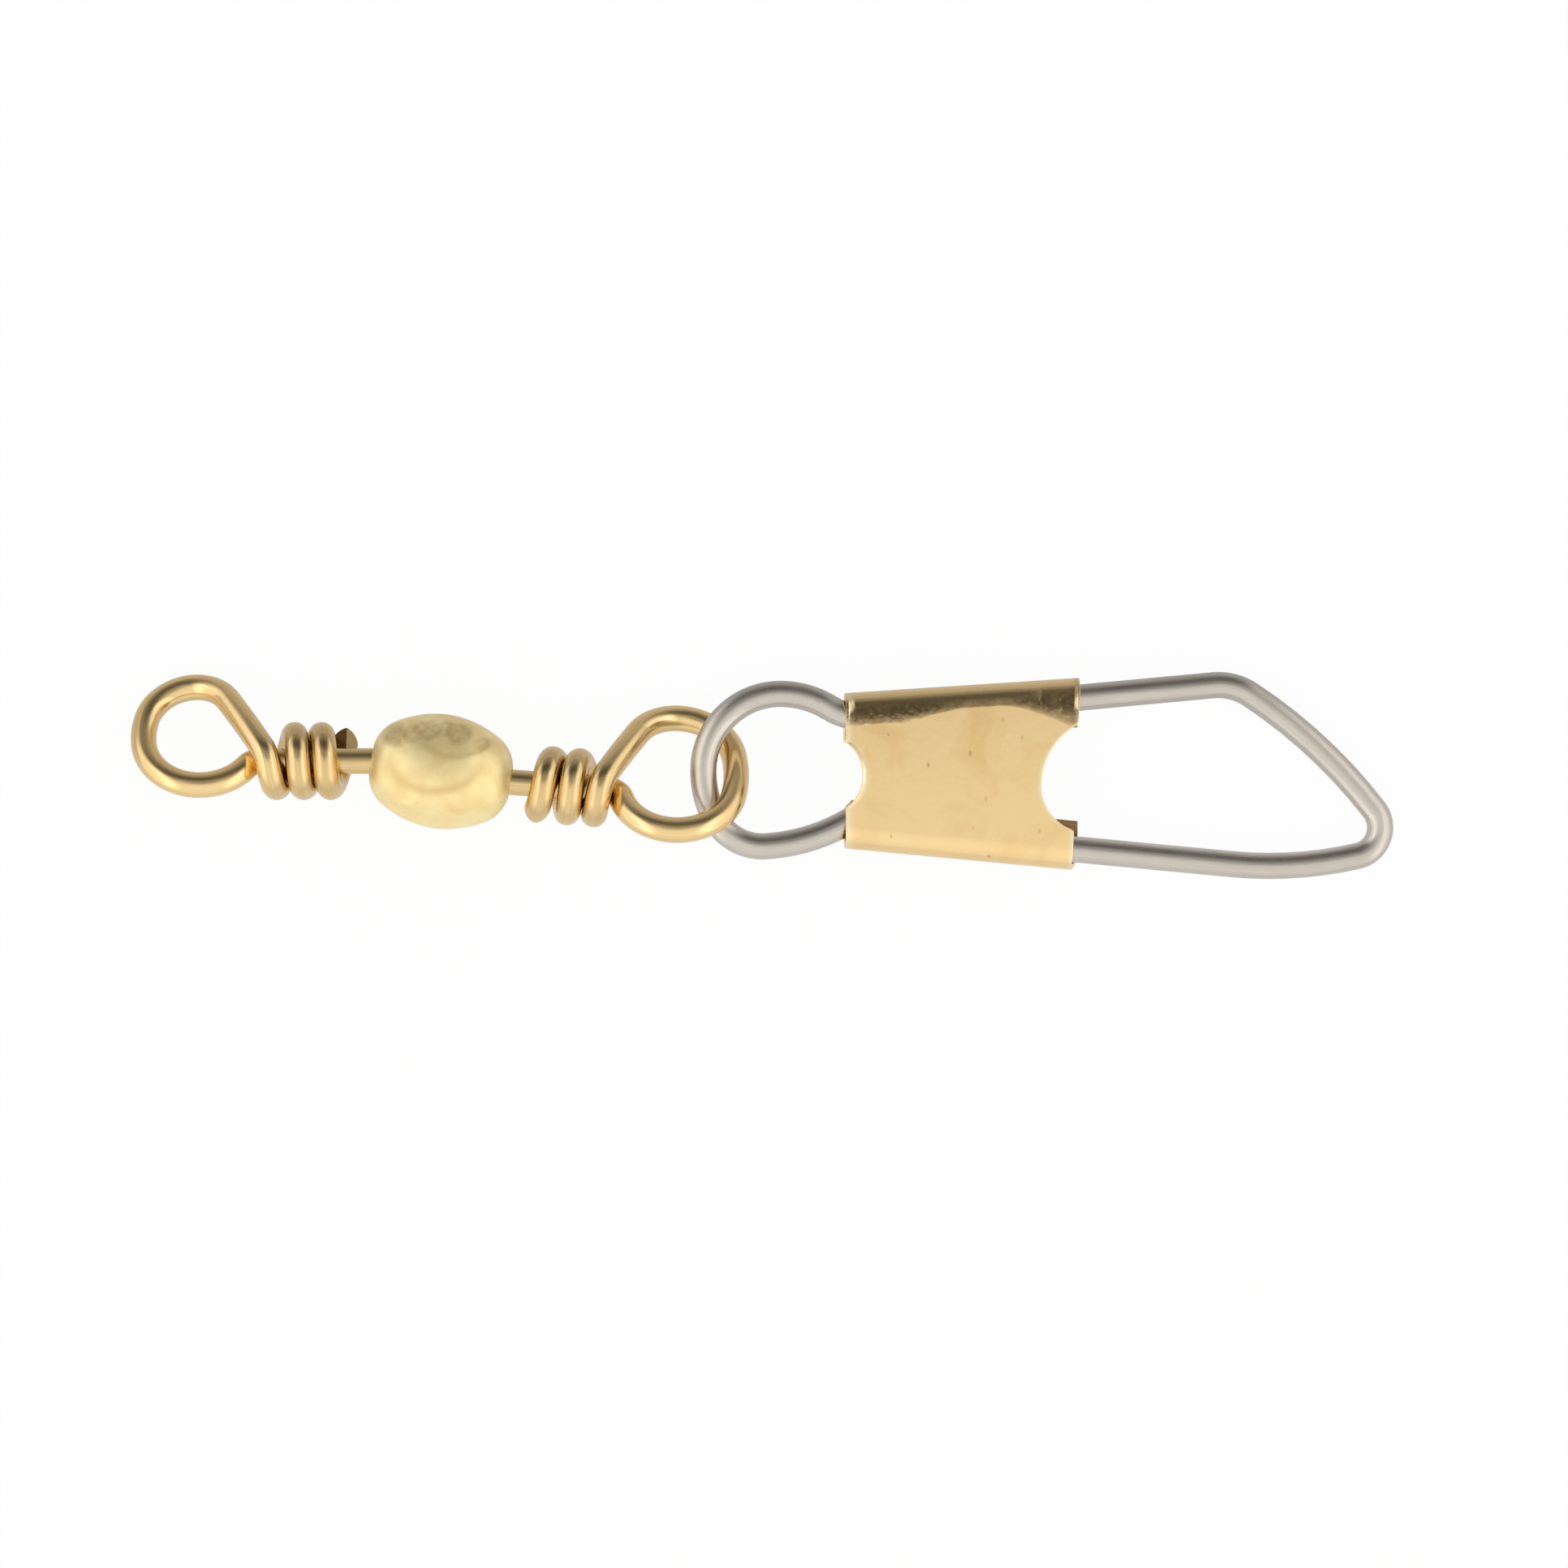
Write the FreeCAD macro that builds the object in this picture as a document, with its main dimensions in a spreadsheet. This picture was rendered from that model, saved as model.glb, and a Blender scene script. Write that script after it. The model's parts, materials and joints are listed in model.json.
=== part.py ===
# Fishing snap swivel: a brass barrel swivel with two wire eyes, linked to a spring wire snap in a folded clip.
# Millimetres. It lies flat on a table, +X from the line eye to the snap's tip, +Z up, and the origin is the
# middle of its footprint on the table.

import FreeCAD, Part
import Sketcher
import math
import os

Vector = FreeCAD.Vector
Rotation = FreeCAD.Rotation
Placement = FreeCAD.Placement

doc = FreeCAD.newDocument("snap_swivel")

# Driving sizes. Lengths are in millimetres, turns and tilts in degrees.
SIZES = [
    ("brass_wire_dia", 1.22, "wire of both eyes"),
    ("steel_wire_dia", 1.25, "spring wire of the snap"),
    ("sheet_thickness", 0.26, "folded clip"),
    ("barrel_length", 6.64, "barrel, end to end"),
    ("barrel_dia", 5.38, "barrel at its middle"),
    ("barrel_end_dia", 2.62, "barrel at its ends, before they are rounded"),
    ("barrel_end_radius", 1.70, "rounding into the barrel's ends"),
    ("barrel_wall", 0.50, "wall of the shell and of its necks"),
    ("shank_clearance", 0.10, "radial play of a shank in its hole"),
    ("head_dia", 2.30, "upset head inside the barrel"),
    ("head_length", 0.90, "upset head"),
    ("head_round", 0.30, "rounded edge of a head"),
    ("head_gap", 0.26, "play between a head and the end wall"),
    ("line_wrap_gap", 0.61, "bare shank between barrel and line eye's wraps"),
    ("line_wrap_turns", 2.77, "turns of the line eye round its shank"),
    ("snap_wrap_gap", 0.92, "bare shank between barrel and snap eye's wraps"),
    ("snap_wrap_turns", 2.35, "turns of the snap eye round its shank"),
    ("wrap_spacing", 0.05, "air between one turn and the next"),
    ("wrap_lift", 0.02, "air between a turn and the shank"),
    ("wrap_settle", 0.75, "turn in radians over which the first wrap tightens"),
    ("wrap_sway", 0.10, "how far the wraps lag on the seen side, and catch up behind"),
    ("line_neck_radius", 0.85, "bend where the line eye leaves its shank"),
    ("line_neck_turn", 52.8, "the same bend"),
    ("line_low_radius", 2.75, "lower side of the line eye"),
    ("line_low_turn", 135.8, "the same side"),
    ("line_far_radius", 4.10, "far end of the line eye"),
    ("line_far_turn", 20.0, "the same end"),
    ("line_top_radius", 2.1, "upper side of the line eye"),
    ("line_slant", 240.6, "heading of the line eye's wire where it crosses"),
    ("line_roll", 37.1, "roll of the line eye down to the table"),
    ("snap_neck_radius", 0.85, "bend where the snap eye leaves its shank"),
    ("snap_neck_turn", 69.0, "the same bend"),
    ("snap_low_radius", 2.72, "lower side of the snap eye"),
    ("snap_low_turn", 153.0, "the same side"),
    ("snap_far_radius", 6.6, "far end of the snap eye"),
    ("snap_far_turn", 21.8, "the same end"),
    ("snap_top_radius", 2.42, "upper side of the snap eye"),
    ("snap_slant", 248.0, "heading of the snap eye's wire where it crosses"),
    ("snap_roll", 42.8, "roll of the snap eye down to the table"),
    ("snap_rise", 3.0, "upward tilt of the snap eye's shank"),
    ("snap_eye_yaw", -4.2, "heading of the snap eye's shank"),
    ("barrel_yaw", -9.2, "heading of the barrel between its two shanks"),
    ("loop_top_radius", 3.65, "small loop, from its end up to its top"),
    ("loop_top_turn", 90.0, "the same bend"),
    ("shoulder_radius", 4.50, "small loop, from its top down to the clip"),
    ("shoulder_turn", 31.6, "the same bend"),
    ("inlet_radius", 3.00, "reverse bend just inside the clip"),
    ("inlet_turn", 36.9, "the same bend"),
    ("through_leg", 16.45, "straight leg through the clip to the knee"),
    ("knee_radius", 2.77, "knee of the big loop"),
    ("knee_turn", 38.6, "the same bend"),
    ("slant_radius", 24.5, "nearly straight slant down to the tip"),
    ("slant_turn", 18.9, "the same bend"),
    ("tip_radius", 1.39, "tight bend at the tip"),
    ("tip_turn", 115.1, "the same bend"),
    ("return_radius", 19.1, "curved start of the lower leg"),
    ("return_turn", 18.1, "the same bend"),
    ("gate_straight", 15.20, "straight rest of the lower leg, into the fold"),
    ("loop_low_radius", 4.84, "small loop, from its end down"),
    ("loop_low_turn", 26.0, "the same bend"),
    ("loop_base_radius", 2.58, "small loop, round its bottom"),
    ("loop_base_turn", 67.5, "the same bend"),
    ("loop_exit_radius", 9.00, "small loop, from its bottom to the clip"),
    ("loop_exit_turn", 26.5, "the same bend"),
    ("curl_lead", 0.90, "straight between that bend and the curl"),
    ("curl_radius", 1.90, "curl behind the clip, to the wire's fixed end"),
    ("curl_turn", 75.0, "the same bend"),
    ("fold_clearance", 0.11, "play of a wire in a fold of the clip"),
    ("clip_start", 6.70, "clip's near end, from the small loop's end"),
    ("clip_length", 11.15, "clip along its longer, upper fold"),
    ("clip_top_slope", 3.75, "rise of the upper fold"),
    ("clip_top_lift", 0.10, "upper fold above the leg in it, at the clip's middle"),
    ("clip_flap", 2.35, "width of the return flaps behind"),
    ("clip_end_skew", 0.42, "the front stops short by this at the far end of the lower fold"),
    ("near_waist_radius", 1.90, "scallop in the clip's near end"),
    ("near_waist_depth", 0.80, "the same scallop"),
    ("near_waist_rise", -0.20, "the same scallop, above the clip's middle"),
    ("far_waist_radius", 3.30, "scallop in the far end of the front face, its upper side"),
    ("far_waist_low_radius", 2.20, "the same scallop, its lower side"),
    ("far_waist_depth", 1.87, "the same scallop"),
    ("far_waist_rise", -0.55, "the same scallop, above the clip's middle"),
    ("link_play", 0.21, "slack between the small loop and the snap eye"),
    ("link_offset", 0.87, "small loop's end, beside the snap eye's shank axis"),
    ("snap_pitch", 3.3, "slope of the snap down to its tip"),
]

sheet = doc.addObject("Spreadsheet::Sheet", "dim")
for row, (alias, amount, note) in enumerate(SIZES, 1):
    sheet.set(f"A{row}", note)
    sheet.set(f"B{row}", str(amount))
    sheet.setAlias(f"B{row}", alias)
doc.recompute()


def size(alias):
    """One driving size, read back from the sheet."""
    return float(sheet.get(alias))


def number(expression):
    """The value of an expression in the sheet's sizes."""
    return float(sheet.evalExpression(expression))


def worked_out(alias, amount):
    """Keep a size that follows from the others in the sheet too, so that sketches can use it."""
    row = len(SIZES) + 1 + len(WORKED_OUT)
    WORKED_OUT.append(alias)
    sheet.set(f"A{row}", "worked out")
    sheet.set(f"B{row}", str(round(amount, 6)))
    sheet.setAlias(f"B{row}", alias)


WORKED_OUT = []
X_AXIS = Vector(1, 0, 0)
Y_AXIS = Vector(0, 1, 0)
Z_AXIS = Vector(0, 0, 1)

brass_radius = size("brass_wire_dia") / 2
steel_radius = size("steel_wire_dia") / 2


# Helpers for sketched bodies

def new_body(label):
    body = doc.addObject("PartDesign::Body", label)
    body.Label = label
    return body


def new_sketch(body, name, plane):
    """A sketch on one of the body's own origin planes."""
    planes = {feature.Role: feature for feature in body.Origin.OriginFeatures}
    sketch = body.newObject("Sketcher::SketchObject", name)
    sketch.AttachmentSupport = [(planes[plane], "")]
    sketch.MapMode = "FlatFace"
    return sketch


def bind(sketch, expression, *constraint):
    """Add a dimension whose value is an expression in the sheet's sizes."""
    index = sketch.addConstraint(Sketcher.Constraint(*constraint))
    sketch.setExpression(f"Constraints[{index}]", expression)


def arc_between(here, there, radius):
    """The short arc from one point to another. A positive radius turns left, a negative one right."""
    left, right = (here, there) if radius > 0 else (there, here)
    middle = (left + right) / 2
    half = (right - left) / 2
    inward = Vector(-half.y, half.x, 0).normalize()
    centre = middle + inward * math.sqrt(max(radius**2 - half.Length**2, 0))
    start = math.atan2(left.y - centre.y, left.x - centre.x)
    stop = math.atan2(right.y - centre.y, right.x - centre.x)
    return Part.ArcOfCircle(Part.Circle(centre, Z_AXIS, abs(radius)), start, stop)


def draw_outline(sketch, corners):
    """A closed outline. Each corner is (x, y, radius of the arc to the next corner, or None for a line)."""
    points = [Vector(number(x), number(y), 0) for x, y, radius in corners]
    edges = []
    for place, (x, y, radius) in enumerate(corners):
        here, there = points[place], points[(place + 1) % len(points)]
        if radius is None:
            edges.append((sketch.addGeometry(Part.LineSegment(here, there), False), 1, 2))
        else:
            bow = number(radius)
            first, last = (1, 2) if bow > 0 else (2, 1)
            edges.append((sketch.addGeometry(arc_between(here, there, bow), False), first, last))
    for place, (x, y, radius) in enumerate(corners):
        edge, first, last = edges[place]
        before, before_first, before_last = edges[place - 1]
        sketch.addConstraint(Sketcher.Constraint("Coincident", before, before_last, edge, first))
        bind(sketch, x, "DistanceX", -1, 1, edge, first, points[place].x)
        bind(sketch, y, "DistanceY", -1, 1, edge, first, points[place].y)
        if radius is not None:
            bind(sketch, f"abs({radius})", "Radius", edge, abs(number(radius)))


def walk(bends, point, heading):
    """Follow a list of bends (radius alias, turn alias, +1 left or -1 right) and straights (length alias,)."""
    steps = []
    for bend in bends:
        if len(bend) == 1:
            end = point + Vector(math.cos(heading), math.sin(heading), 0) * size(bend[0])
            steps.append((Part.LineSegment(point, end), 1, 2))
        else:
            radius, turn, way = size(bend[0]), math.radians(size(bend[1])), bend[2]
            centre = point + Vector(-math.sin(heading), math.cos(heading), 0) * radius * way
            start = math.atan2(point.y - centre.y, point.x - centre.x)
            span = (start, start + turn) if way > 0 else (start - turn, start)
            end = centre + Rotation(Z_AXIS, math.degrees(turn * way)).multVec(point - centre)
            ends = (1, 2) if way > 0 else (2, 1)
            steps.append((Part.ArcOfCircle(Part.Circle(centre, Z_AXIS, radius), *span), *ends))
            heading += turn * way
        point = end
    return steps, point, heading


def draw_bends(sketch, bends, heading):
    """A wire's centreline from the sketch's origin, one tangent bend or straight after another.
    The first bend's centre lies on the sketch's horizontal axis (-1) or vertical one (-2)."""
    centre_axis = -1 if round(math.cos(heading)) == 0 else -2
    steps, end, last_heading = walk(bends, Vector(), heading)
    before = None
    for bend, (shape, first, last) in zip(bends, steps):
        edge = sketch.addGeometry(shape, False)
        if before is None:
            sketch.addConstraint(Sketcher.Constraint("Coincident", edge, first, -1, 1))
            sketch.addConstraint(Sketcher.Constraint("PointOnObject", edge, 3, centre_axis))
        else:
            sketch.addConstraint(Sketcher.Constraint("Tangent", *before, edge, first))
        if len(bend) == 1:
            bind(sketch, f"dim.{bend[0]}", "Distance", edge, size(bend[0]))
        else:
            bind(sketch, f"dim.{bend[0]}", "Radius", edge, size(bend[0]))
            bind(sketch, f"dim.{bend[1]} * 1 deg", "Angle", edge, math.radians(size(bend[1])))
        before = (edge, last)


def draw_round(sketch, expression):
    """The wire's round section, centred on the sketch's origin."""
    circle = sketch.addGeometry(Part.Circle(Vector(), Z_AXIS, number(expression) / 2), False)
    sketch.addConstraint(Sketcher.Constraint("Coincident", circle, 3, -1, 1))
    bind(sketch, expression, "Diameter", circle, number(expression))


def add_pipe(body, name, section, path):
    pipe = body.newObject("PartDesign::AdditivePipe", name)
    pipe.Profile = section
    pipe.Spine = path
    return pipe


def add_turned(body, kind, name, outline):
    """A revolution or groove about the body's X axis."""
    feature = body.newObject(kind, name)
    feature.Profile = outline
    feature.ReferenceAxis = (outline, ["H_Axis"])
    feature.Angle = 360
    return feature


# Barrel: a turned shell, bulged at its middle and rounded into its ends, with a neck hole at each end

bulge = number("(dim.barrel_dia - dim.barrel_end_dia) / 2")
worked_out("barrel_side_radius", (number("dim.barrel_length / 2") ** 2 + bulge**2) / (2 * bulge))
doc.recompute()


def shell_outline(half, radius):
    """Half of a barrel's section: flat ends, and one arc between them."""
    end = f"dim.barrel_dia / 2 - dim.barrel_side_radius + sqrt(({radius}) ^ 2 - ({half}) ^ 2)"
    return [
        (f"-({half})", "0", None),
        (f"{half}", "0", None),
        (f"{half}", end, f"{radius}"),
        (f"-({half})", end, None),
    ]


rim_flatness = 0.001


def round_ends(body, name, base, radius, x, expression):
    """Fillet the two end rims that lie at -x and +x."""
    rims = []
    for index, edge in enumerate(base.Shape.Edges, 1):
        box = edge.BoundBox
        if box.XLength < rim_flatness and abs(abs(box.XMin) - x) < rim_flatness and box.YLength > radius:
            rims.append(f"Edge{index}")
    fillet = body.newObject("PartDesign::Fillet", name)
    fillet.Base = (base, rims)
    fillet.Radius = radius
    fillet.setExpression("Radius", expression)
    return fillet


barrel = new_body("barrel")
outer = new_sketch(barrel, "barrel_outline", "XY_Plane")
draw_outline(outer, shell_outline("dim.barrel_length / 2", "dim.barrel_side_radius"))
turned = add_turned(barrel, "PartDesign::Revolution", "barrel_turned", outer)
doc.recompute()
round_ends(barrel, "barrel_ends", turned, size("barrel_end_radius"), size("barrel_length") / 2,
           "dim.barrel_end_radius")
inner_half = "dim.barrel_length / 2 - dim.barrel_wall"
inner = new_sketch(barrel, "cavity_outline", "XY_Plane")
draw_outline(inner, shell_outline(inner_half, "dim.barrel_side_radius - dim.barrel_wall"))
hollowed = add_turned(barrel, "PartDesign::Groove", "barrel_hollowed", inner)
bore = new_sketch(barrel, "neck_outline", "XY_Plane")
neck_radius = "dim.brass_wire_dia / 2 + dim.shank_clearance"
draw_outline(bore, [
    ("-dim.barrel_length / 2", "0", None),
    ("dim.barrel_length / 2", "0", None),
    ("dim.barrel_length / 2", neck_radius, None),
    ("-dim.barrel_length / 2", neck_radius, None),
])
doc.recompute()
cut_volumes = [turned.Shape.Volume - hollowed.Shape.Volume]
add_turned(barrel, "PartDesign::Groove", "neck_holes", bore)
doc.recompute()
cut_volumes.append(hollowed.Shape.Volume - barrel.Shape.Volume)


# Eye wires: head, shank, teardrop eye and close wraps, drawn through stations of (point, direction).
# In an eye's own frame u runs out along the shank, v towards the wire that ends in the wraps, w up.

station_turn = math.radians(68)
slant_parts = 2
lift_starts = 0.45  # share of the loop after which the wire climbs to cross over the shank
parallel = 1e-9
straight = 1e-7
wrap_radius = size("brass_wire_dia") + size("wrap_lift")
lead = (size("brass_wire_dia") + size("wrap_spacing")) / math.tau
head_seat = size("barrel_wall") / 2 + size("head_gap")


def eye_loop(name):
    """The flat plan of one eye's loop: stations of (u, v, heading, length so far), ending at the crossing."""
    slant = math.radians(size(f"{name}_slant"))
    bends = [(f"{name}_neck_radius", f"{name}_neck_turn", -1), (f"{name}_low_radius", f"{name}_low_turn", 1),
             (f"{name}_far_radius", f"{name}_far_turn", 1)]
    turned_so_far = size(f"{name}_low_turn") + size(f"{name}_far_turn") - size(f"{name}_neck_turn")
    legs = [(size(radius), math.radians(size(turn)) * way) for radius, turn, way in bends]
    legs.append((size(f"{name}_top_radius"), slant - math.radians(turned_so_far)))
    u, v, heading, length = 0.0, 0.0, 0.0, 0.0
    stations = [(u, v, heading, length)]
    for radius, turn in legs:
        parts = math.ceil(abs(turn) / station_turn)
        side = math.copysign(radius, turn)
        for part in range(parts):
            step = turn / parts
            u += side * (math.sin(heading + step) - math.sin(heading))
            v -= side * (math.cos(heading + step) - math.cos(heading))
            heading += step
            length += abs(side * step)
            stations.append((u, v, heading, length))
    run = -v / math.sin(heading)
    for part in range(1, slant_parts + 1):
        share = run * part / slant_parts
        stations.append((u + share * math.cos(heading), v + share * math.sin(heading), heading, length + share))
    shift = stations[-1][0]
    return [(u - shift, v, heading, length) for u, v, heading, length in stations]


def wrap_advance(name, turn):
    """How far the wraps have moved down the shank after a turn in radians from the crossing."""
    first_lead = wrap_radius / abs(math.tan(math.radians(size(f"{name}_slant"))))
    settle = size("wrap_settle")
    settled = 1 - math.exp(-turn / settle)
    lag = size("wrap_sway") * settled * math.sin(turn - math.radians(size(f"{name}_roll")))
    return lead * turn + (first_lead - lead) * settle * settled - lag


def wrap_slope(name, turn):
    first_lead = wrap_radius / abs(math.tan(math.radians(size(f"{name}_slant"))))
    settle = size("wrap_settle")
    unsettled = math.exp(-turn / settle)
    past_front = turn - math.radians(size(f"{name}_roll"))
    lag = unsettled / settle * math.sin(past_front) + (1 - unsettled) * math.cos(past_front)
    return lead + (first_lead - lead) * unsettled - size("wrap_sway") * lag


def eye_stations(name):
    """The whole centreline of an eye wire from its head to its cut end."""
    loop = eye_loop(name)
    whole = loop[-1][3]
    stations = [(Vector(-shank_reach(name) - head_seat - size("head_length") / 2, 0, 0), X_AXIS)]
    for u, v, heading, length in loop:
        share = min(max((length / whole - lift_starts) / (1 - lift_starts), 0), 1)
        lift = wrap_radius * share**2 * (3 - 2 * share)
        climb = wrap_radius * 6 * share * (1 - share) / (whole * (1 - lift_starts))
        along = Vector(math.cos(heading), math.sin(heading), climb)
        stations.append((Vector(u, v, lift), along.normalize()))
    turns = size(f"{name}_wrap_turns") * math.tau
    parts = math.ceil(turns / station_turn)
    for part in range(1, parts + 1):
        turn = turns * part / parts
        place = Vector(-wrap_advance(name, turn), -wrap_radius * math.sin(turn), wrap_radius * math.cos(turn))
        along = Vector(-wrap_slope(name, turn), -wrap_radius * math.cos(turn), -wrap_radius * math.sin(turn))
        stations.append((place, along.normalize()))
    return stations


def shank_reach(name):
    """From an eye's crossing back to the middle of the barrel's end wall."""
    wraps = wrap_advance(name, size(f"{name}_wrap_turns") * math.tau) + brass_radius
    return wraps + size(f"{name}_wrap_gap") + size("barrel_wall") / 2


def two_arcs(here, along, there, onward):
    """The point where two arcs meet that join one station to the next, both tangent to its directions."""
    gap = there - here
    both = along + onward
    spread = 2 * (1 - along.dot(onward))
    if spread < parallel:
        reach = gap.dot(gap) / (4 * gap.dot(onward))
    else:
        reach = (math.sqrt(gap.dot(both) ** 2 + spread * gap.dot(gap)) - gap.dot(both)) / spread
    return (here + there + (along - onward) * reach) / 2


def sweep_round(stations, radius):
    """A solid round wire: its circle is pushed along each straight and turned about each arc's centre."""
    here, along = stations[0]
    ring = Part.makeCircle(radius, here, along)
    faces = [Part.Face(Part.Wire([ring]))]
    for there, onward in stations[1:]:
        for goal in (two_arcs(here, along, there, onward), there):
            chord = goal - here
            side = chord - along * chord.dot(along)
            if side.Length < straight:
                faces.append(ring.extrude(chord))
                ring = ring.copy()
                ring.translate(chord)
            else:
                side.normalize()
                bend = chord.dot(chord) / (2 * chord.dot(side))
                turn = math.degrees(2 * math.atan2(chord.dot(side), chord.dot(along)))
                centre = here + side * bend
                axis = along.cross(side)
                faces.append(ring.revolve(centre, axis, turn))
                ring = ring.copy()
                ring.rotate(centre, axis, turn)
                along = Rotation(axis, turn).multVec(along)
            here = goal
        along = onward
    faces.append(Part.Face(Part.Wire([ring])))
    skin = Part.makeCompound(faces)
    skin.sewShape()
    solid = Part.Solid(skin.Shells[0])
    return solid if solid.Volume > 0 else solid.reversed()


def eye_wire(label, name, way):
    """One eye wire in its own frame, mirrored along u where way is -1."""
    stations = [(Vector(p.x * way, p.y, p.z), Vector(d.x * way, d.y, d.z)) for p, d in eye_stations(name)]
    wire = sweep_round(stations, brass_radius)
    seat = Vector(-way * (shank_reach(name) + head_seat), 0, 0)
    head = Part.makeCylinder(size("head_dia") / 2, size("head_length"), seat, X_AXIS * -way)
    head = head.makeFillet(size("head_round"), [edge for edge in head.Edges if edge.Closed])
    node = doc.addObject("Part::Feature", label)
    node.Label = label
    node.Shape = wire.fuse(head).removeSplitter()
    return node


line_eye = eye_wire("line_eye", "line", -1)
snap_eye = eye_wire("snap_eye", "snap", 1)


# Snap wire: bent flat from one length, starting at the far left of its small loop. The stretch after the tip
# bend is the gate, which springs.

UPPER_BENDS = [
    ("loop_top_radius", "loop_top_turn", -1),
    ("shoulder_radius", "shoulder_turn", -1),
    ("inlet_radius", "inlet_turn", 1),
    ("through_leg",),
    ("knee_radius", "knee_turn", -1),
    ("slant_radius", "slant_turn", -1),
    ("tip_radius", "tip_turn", -1),
]
LOWER_BENDS = [
    ("loop_low_radius", "loop_low_turn", 1),
    ("loop_base_radius", "loop_base_turn", 1),
    ("loop_exit_radius", "loop_exit_turn", 1),
    ("curl_lead",),
    ("curl_radius", "curl_turn", 1),
]
GATE_BENDS = [
    ("return_radius", "return_turn", -1),
    ("gate_straight",),
]

snap_wire = new_body("snap_wire")
steel_round = new_sketch(snap_wire, "wire_section", "XZ_Plane")
draw_round(steel_round, "dim.steel_wire_dia")
upper_path = new_sketch(snap_wire, "upper_path", "XY_Plane")
draw_bends(upper_path, UPPER_BENDS, math.radians(90))
lower_path = new_sketch(snap_wire, "lower_path", "XY_Plane")
draw_bends(lower_path, LOWER_BENDS, math.radians(-90))
doc.recompute()
add_pipe(snap_wire, "upper_wire", steel_round, upper_path)
doc.recompute()
add_pipe(snap_wire, "lower_wire", steel_round, lower_path)

gate_leg = new_body("gate_leg")
gate_round = new_sketch(gate_leg, "gate_section", "YZ_Plane")
draw_round(gate_round, "dim.steel_wire_dia")
gate_path = new_sketch(gate_leg, "gate_path", "XY_Plane")
draw_bends(gate_path, GATE_BENDS, 0)
doc.recompute()
add_pipe(gate_leg, "gate_wire", gate_round, gate_path)
doc.recompute()


# Clip: a strip folded over the upper leg and under the lower one, its folds spreading towards the far end

leg_start = walk(UPPER_BENDS[:3], Vector(), math.radians(90))[1:]
tip_end, tip_heading = walk(UPPER_BENDS, Vector(), math.radians(90))[1:]
gate_start = walk(GATE_BENDS[:1], tip_end, tip_heading)[1:]


def height_at(start, x):
    """The height at x of the straight leg that starts at (point, heading)."""
    point, heading = start
    return point.y + (x - point.x) * math.tan(heading)


clip_end = size("clip_start") + size("clip_length")
clip_middle = size("clip_start") + size("clip_length") / 2
top_rise = math.tan(math.radians(size("clip_top_slope"))) * size("clip_length") / 2
top_middle = height_at(leg_start, clip_middle) + size("clip_top_lift")
worked_out("top_near", top_middle - top_rise)
worked_out("top_far", top_middle + top_rise)
worked_out("low_near", height_at(gate_start, size("clip_start")))
worked_out("low_far", height_at(gate_start, clip_end))
doc.recompute()

fold_inside = "(dim.steel_wire_dia / 2 + dim.fold_clearance)"
fold_outside = "(dim.steel_wire_dia / 2 + dim.fold_clearance + dim.sheet_thickness)"
flap_reach = f"(dim.clip_flap - {fold_outside})"


def clip_section(top, low):
    """The folded strip's section at one end, from the front face round the folds to the flaps behind."""
    return [
        (low, fold_outside, None),
        (low, fold_inside, None),
        (top, fold_inside, f"-{fold_inside}"),
        (f"{top} + {fold_inside}", "0", f"-{fold_inside}"),
        (top, f"-{fold_inside}", None),
        (f"{top} - {flap_reach}", f"-{fold_inside}", None),
        (f"{top} - {flap_reach}", f"-{fold_outside}", None),
        (top, f"-{fold_outside}", fold_outside),
        (f"{top} + {fold_outside}", "0", fold_outside),
        (top, fold_outside, None),
    ]


def fold_section(top, low):
    """The whole closed outline: the upper half above, then the lower fold the same way round."""
    upper = clip_section(top, low)[2:]
    lower = [
        (low, fold_outside, fold_outside),
        (f"{low} - {fold_outside}", "0", fold_outside),
        (low, f"-{fold_outside}", None),
        (f"{low} + {flap_reach}", f"-{fold_outside}", None),
        (f"{low} + {flap_reach}", f"-{fold_inside}", None),
        (low, f"-{fold_inside}", f"-{fold_inside}"),
        (f"{low} - {fold_inside}", "0", f"-{fold_inside}"),
        (low, fold_inside, None),
    ]
    return upper + lower


clip_plate = new_body("clip_plate")
sections = []
for end, offset in (("near", "dim.clip_start"), ("far", "dim.clip_start + dim.clip_length")):
    section = new_sketch(clip_plate, f"{end}_section", "YZ_Plane")
    section.AttachmentOffset = Placement(Vector(0, 0, number(offset)), Rotation())
    section.setExpression("AttachmentOffset.Base.z", offset)
    draw_outline(section, fold_section(f"dim.top_{end}", f"dim.low_{end}"))
    sections.append(section)
folded = clip_plate.newObject("PartDesign::AdditiveLoft", "folded_strip")
folded.Profile = sections[0]
folded.Sections = [sections[1]]
folded.Ruled = True
doc.recompute()


def add_cut(body, name, outline, front_only):
    """A cut through the clip, or through its front face alone."""
    cut = body.newObject("PartDesign::Pocket", name)
    cut.Profile = outline
    cut.Type = "ThroughAll"
    cut.Midplane = not front_only
    cut.Reversed = front_only
    return cut


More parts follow.
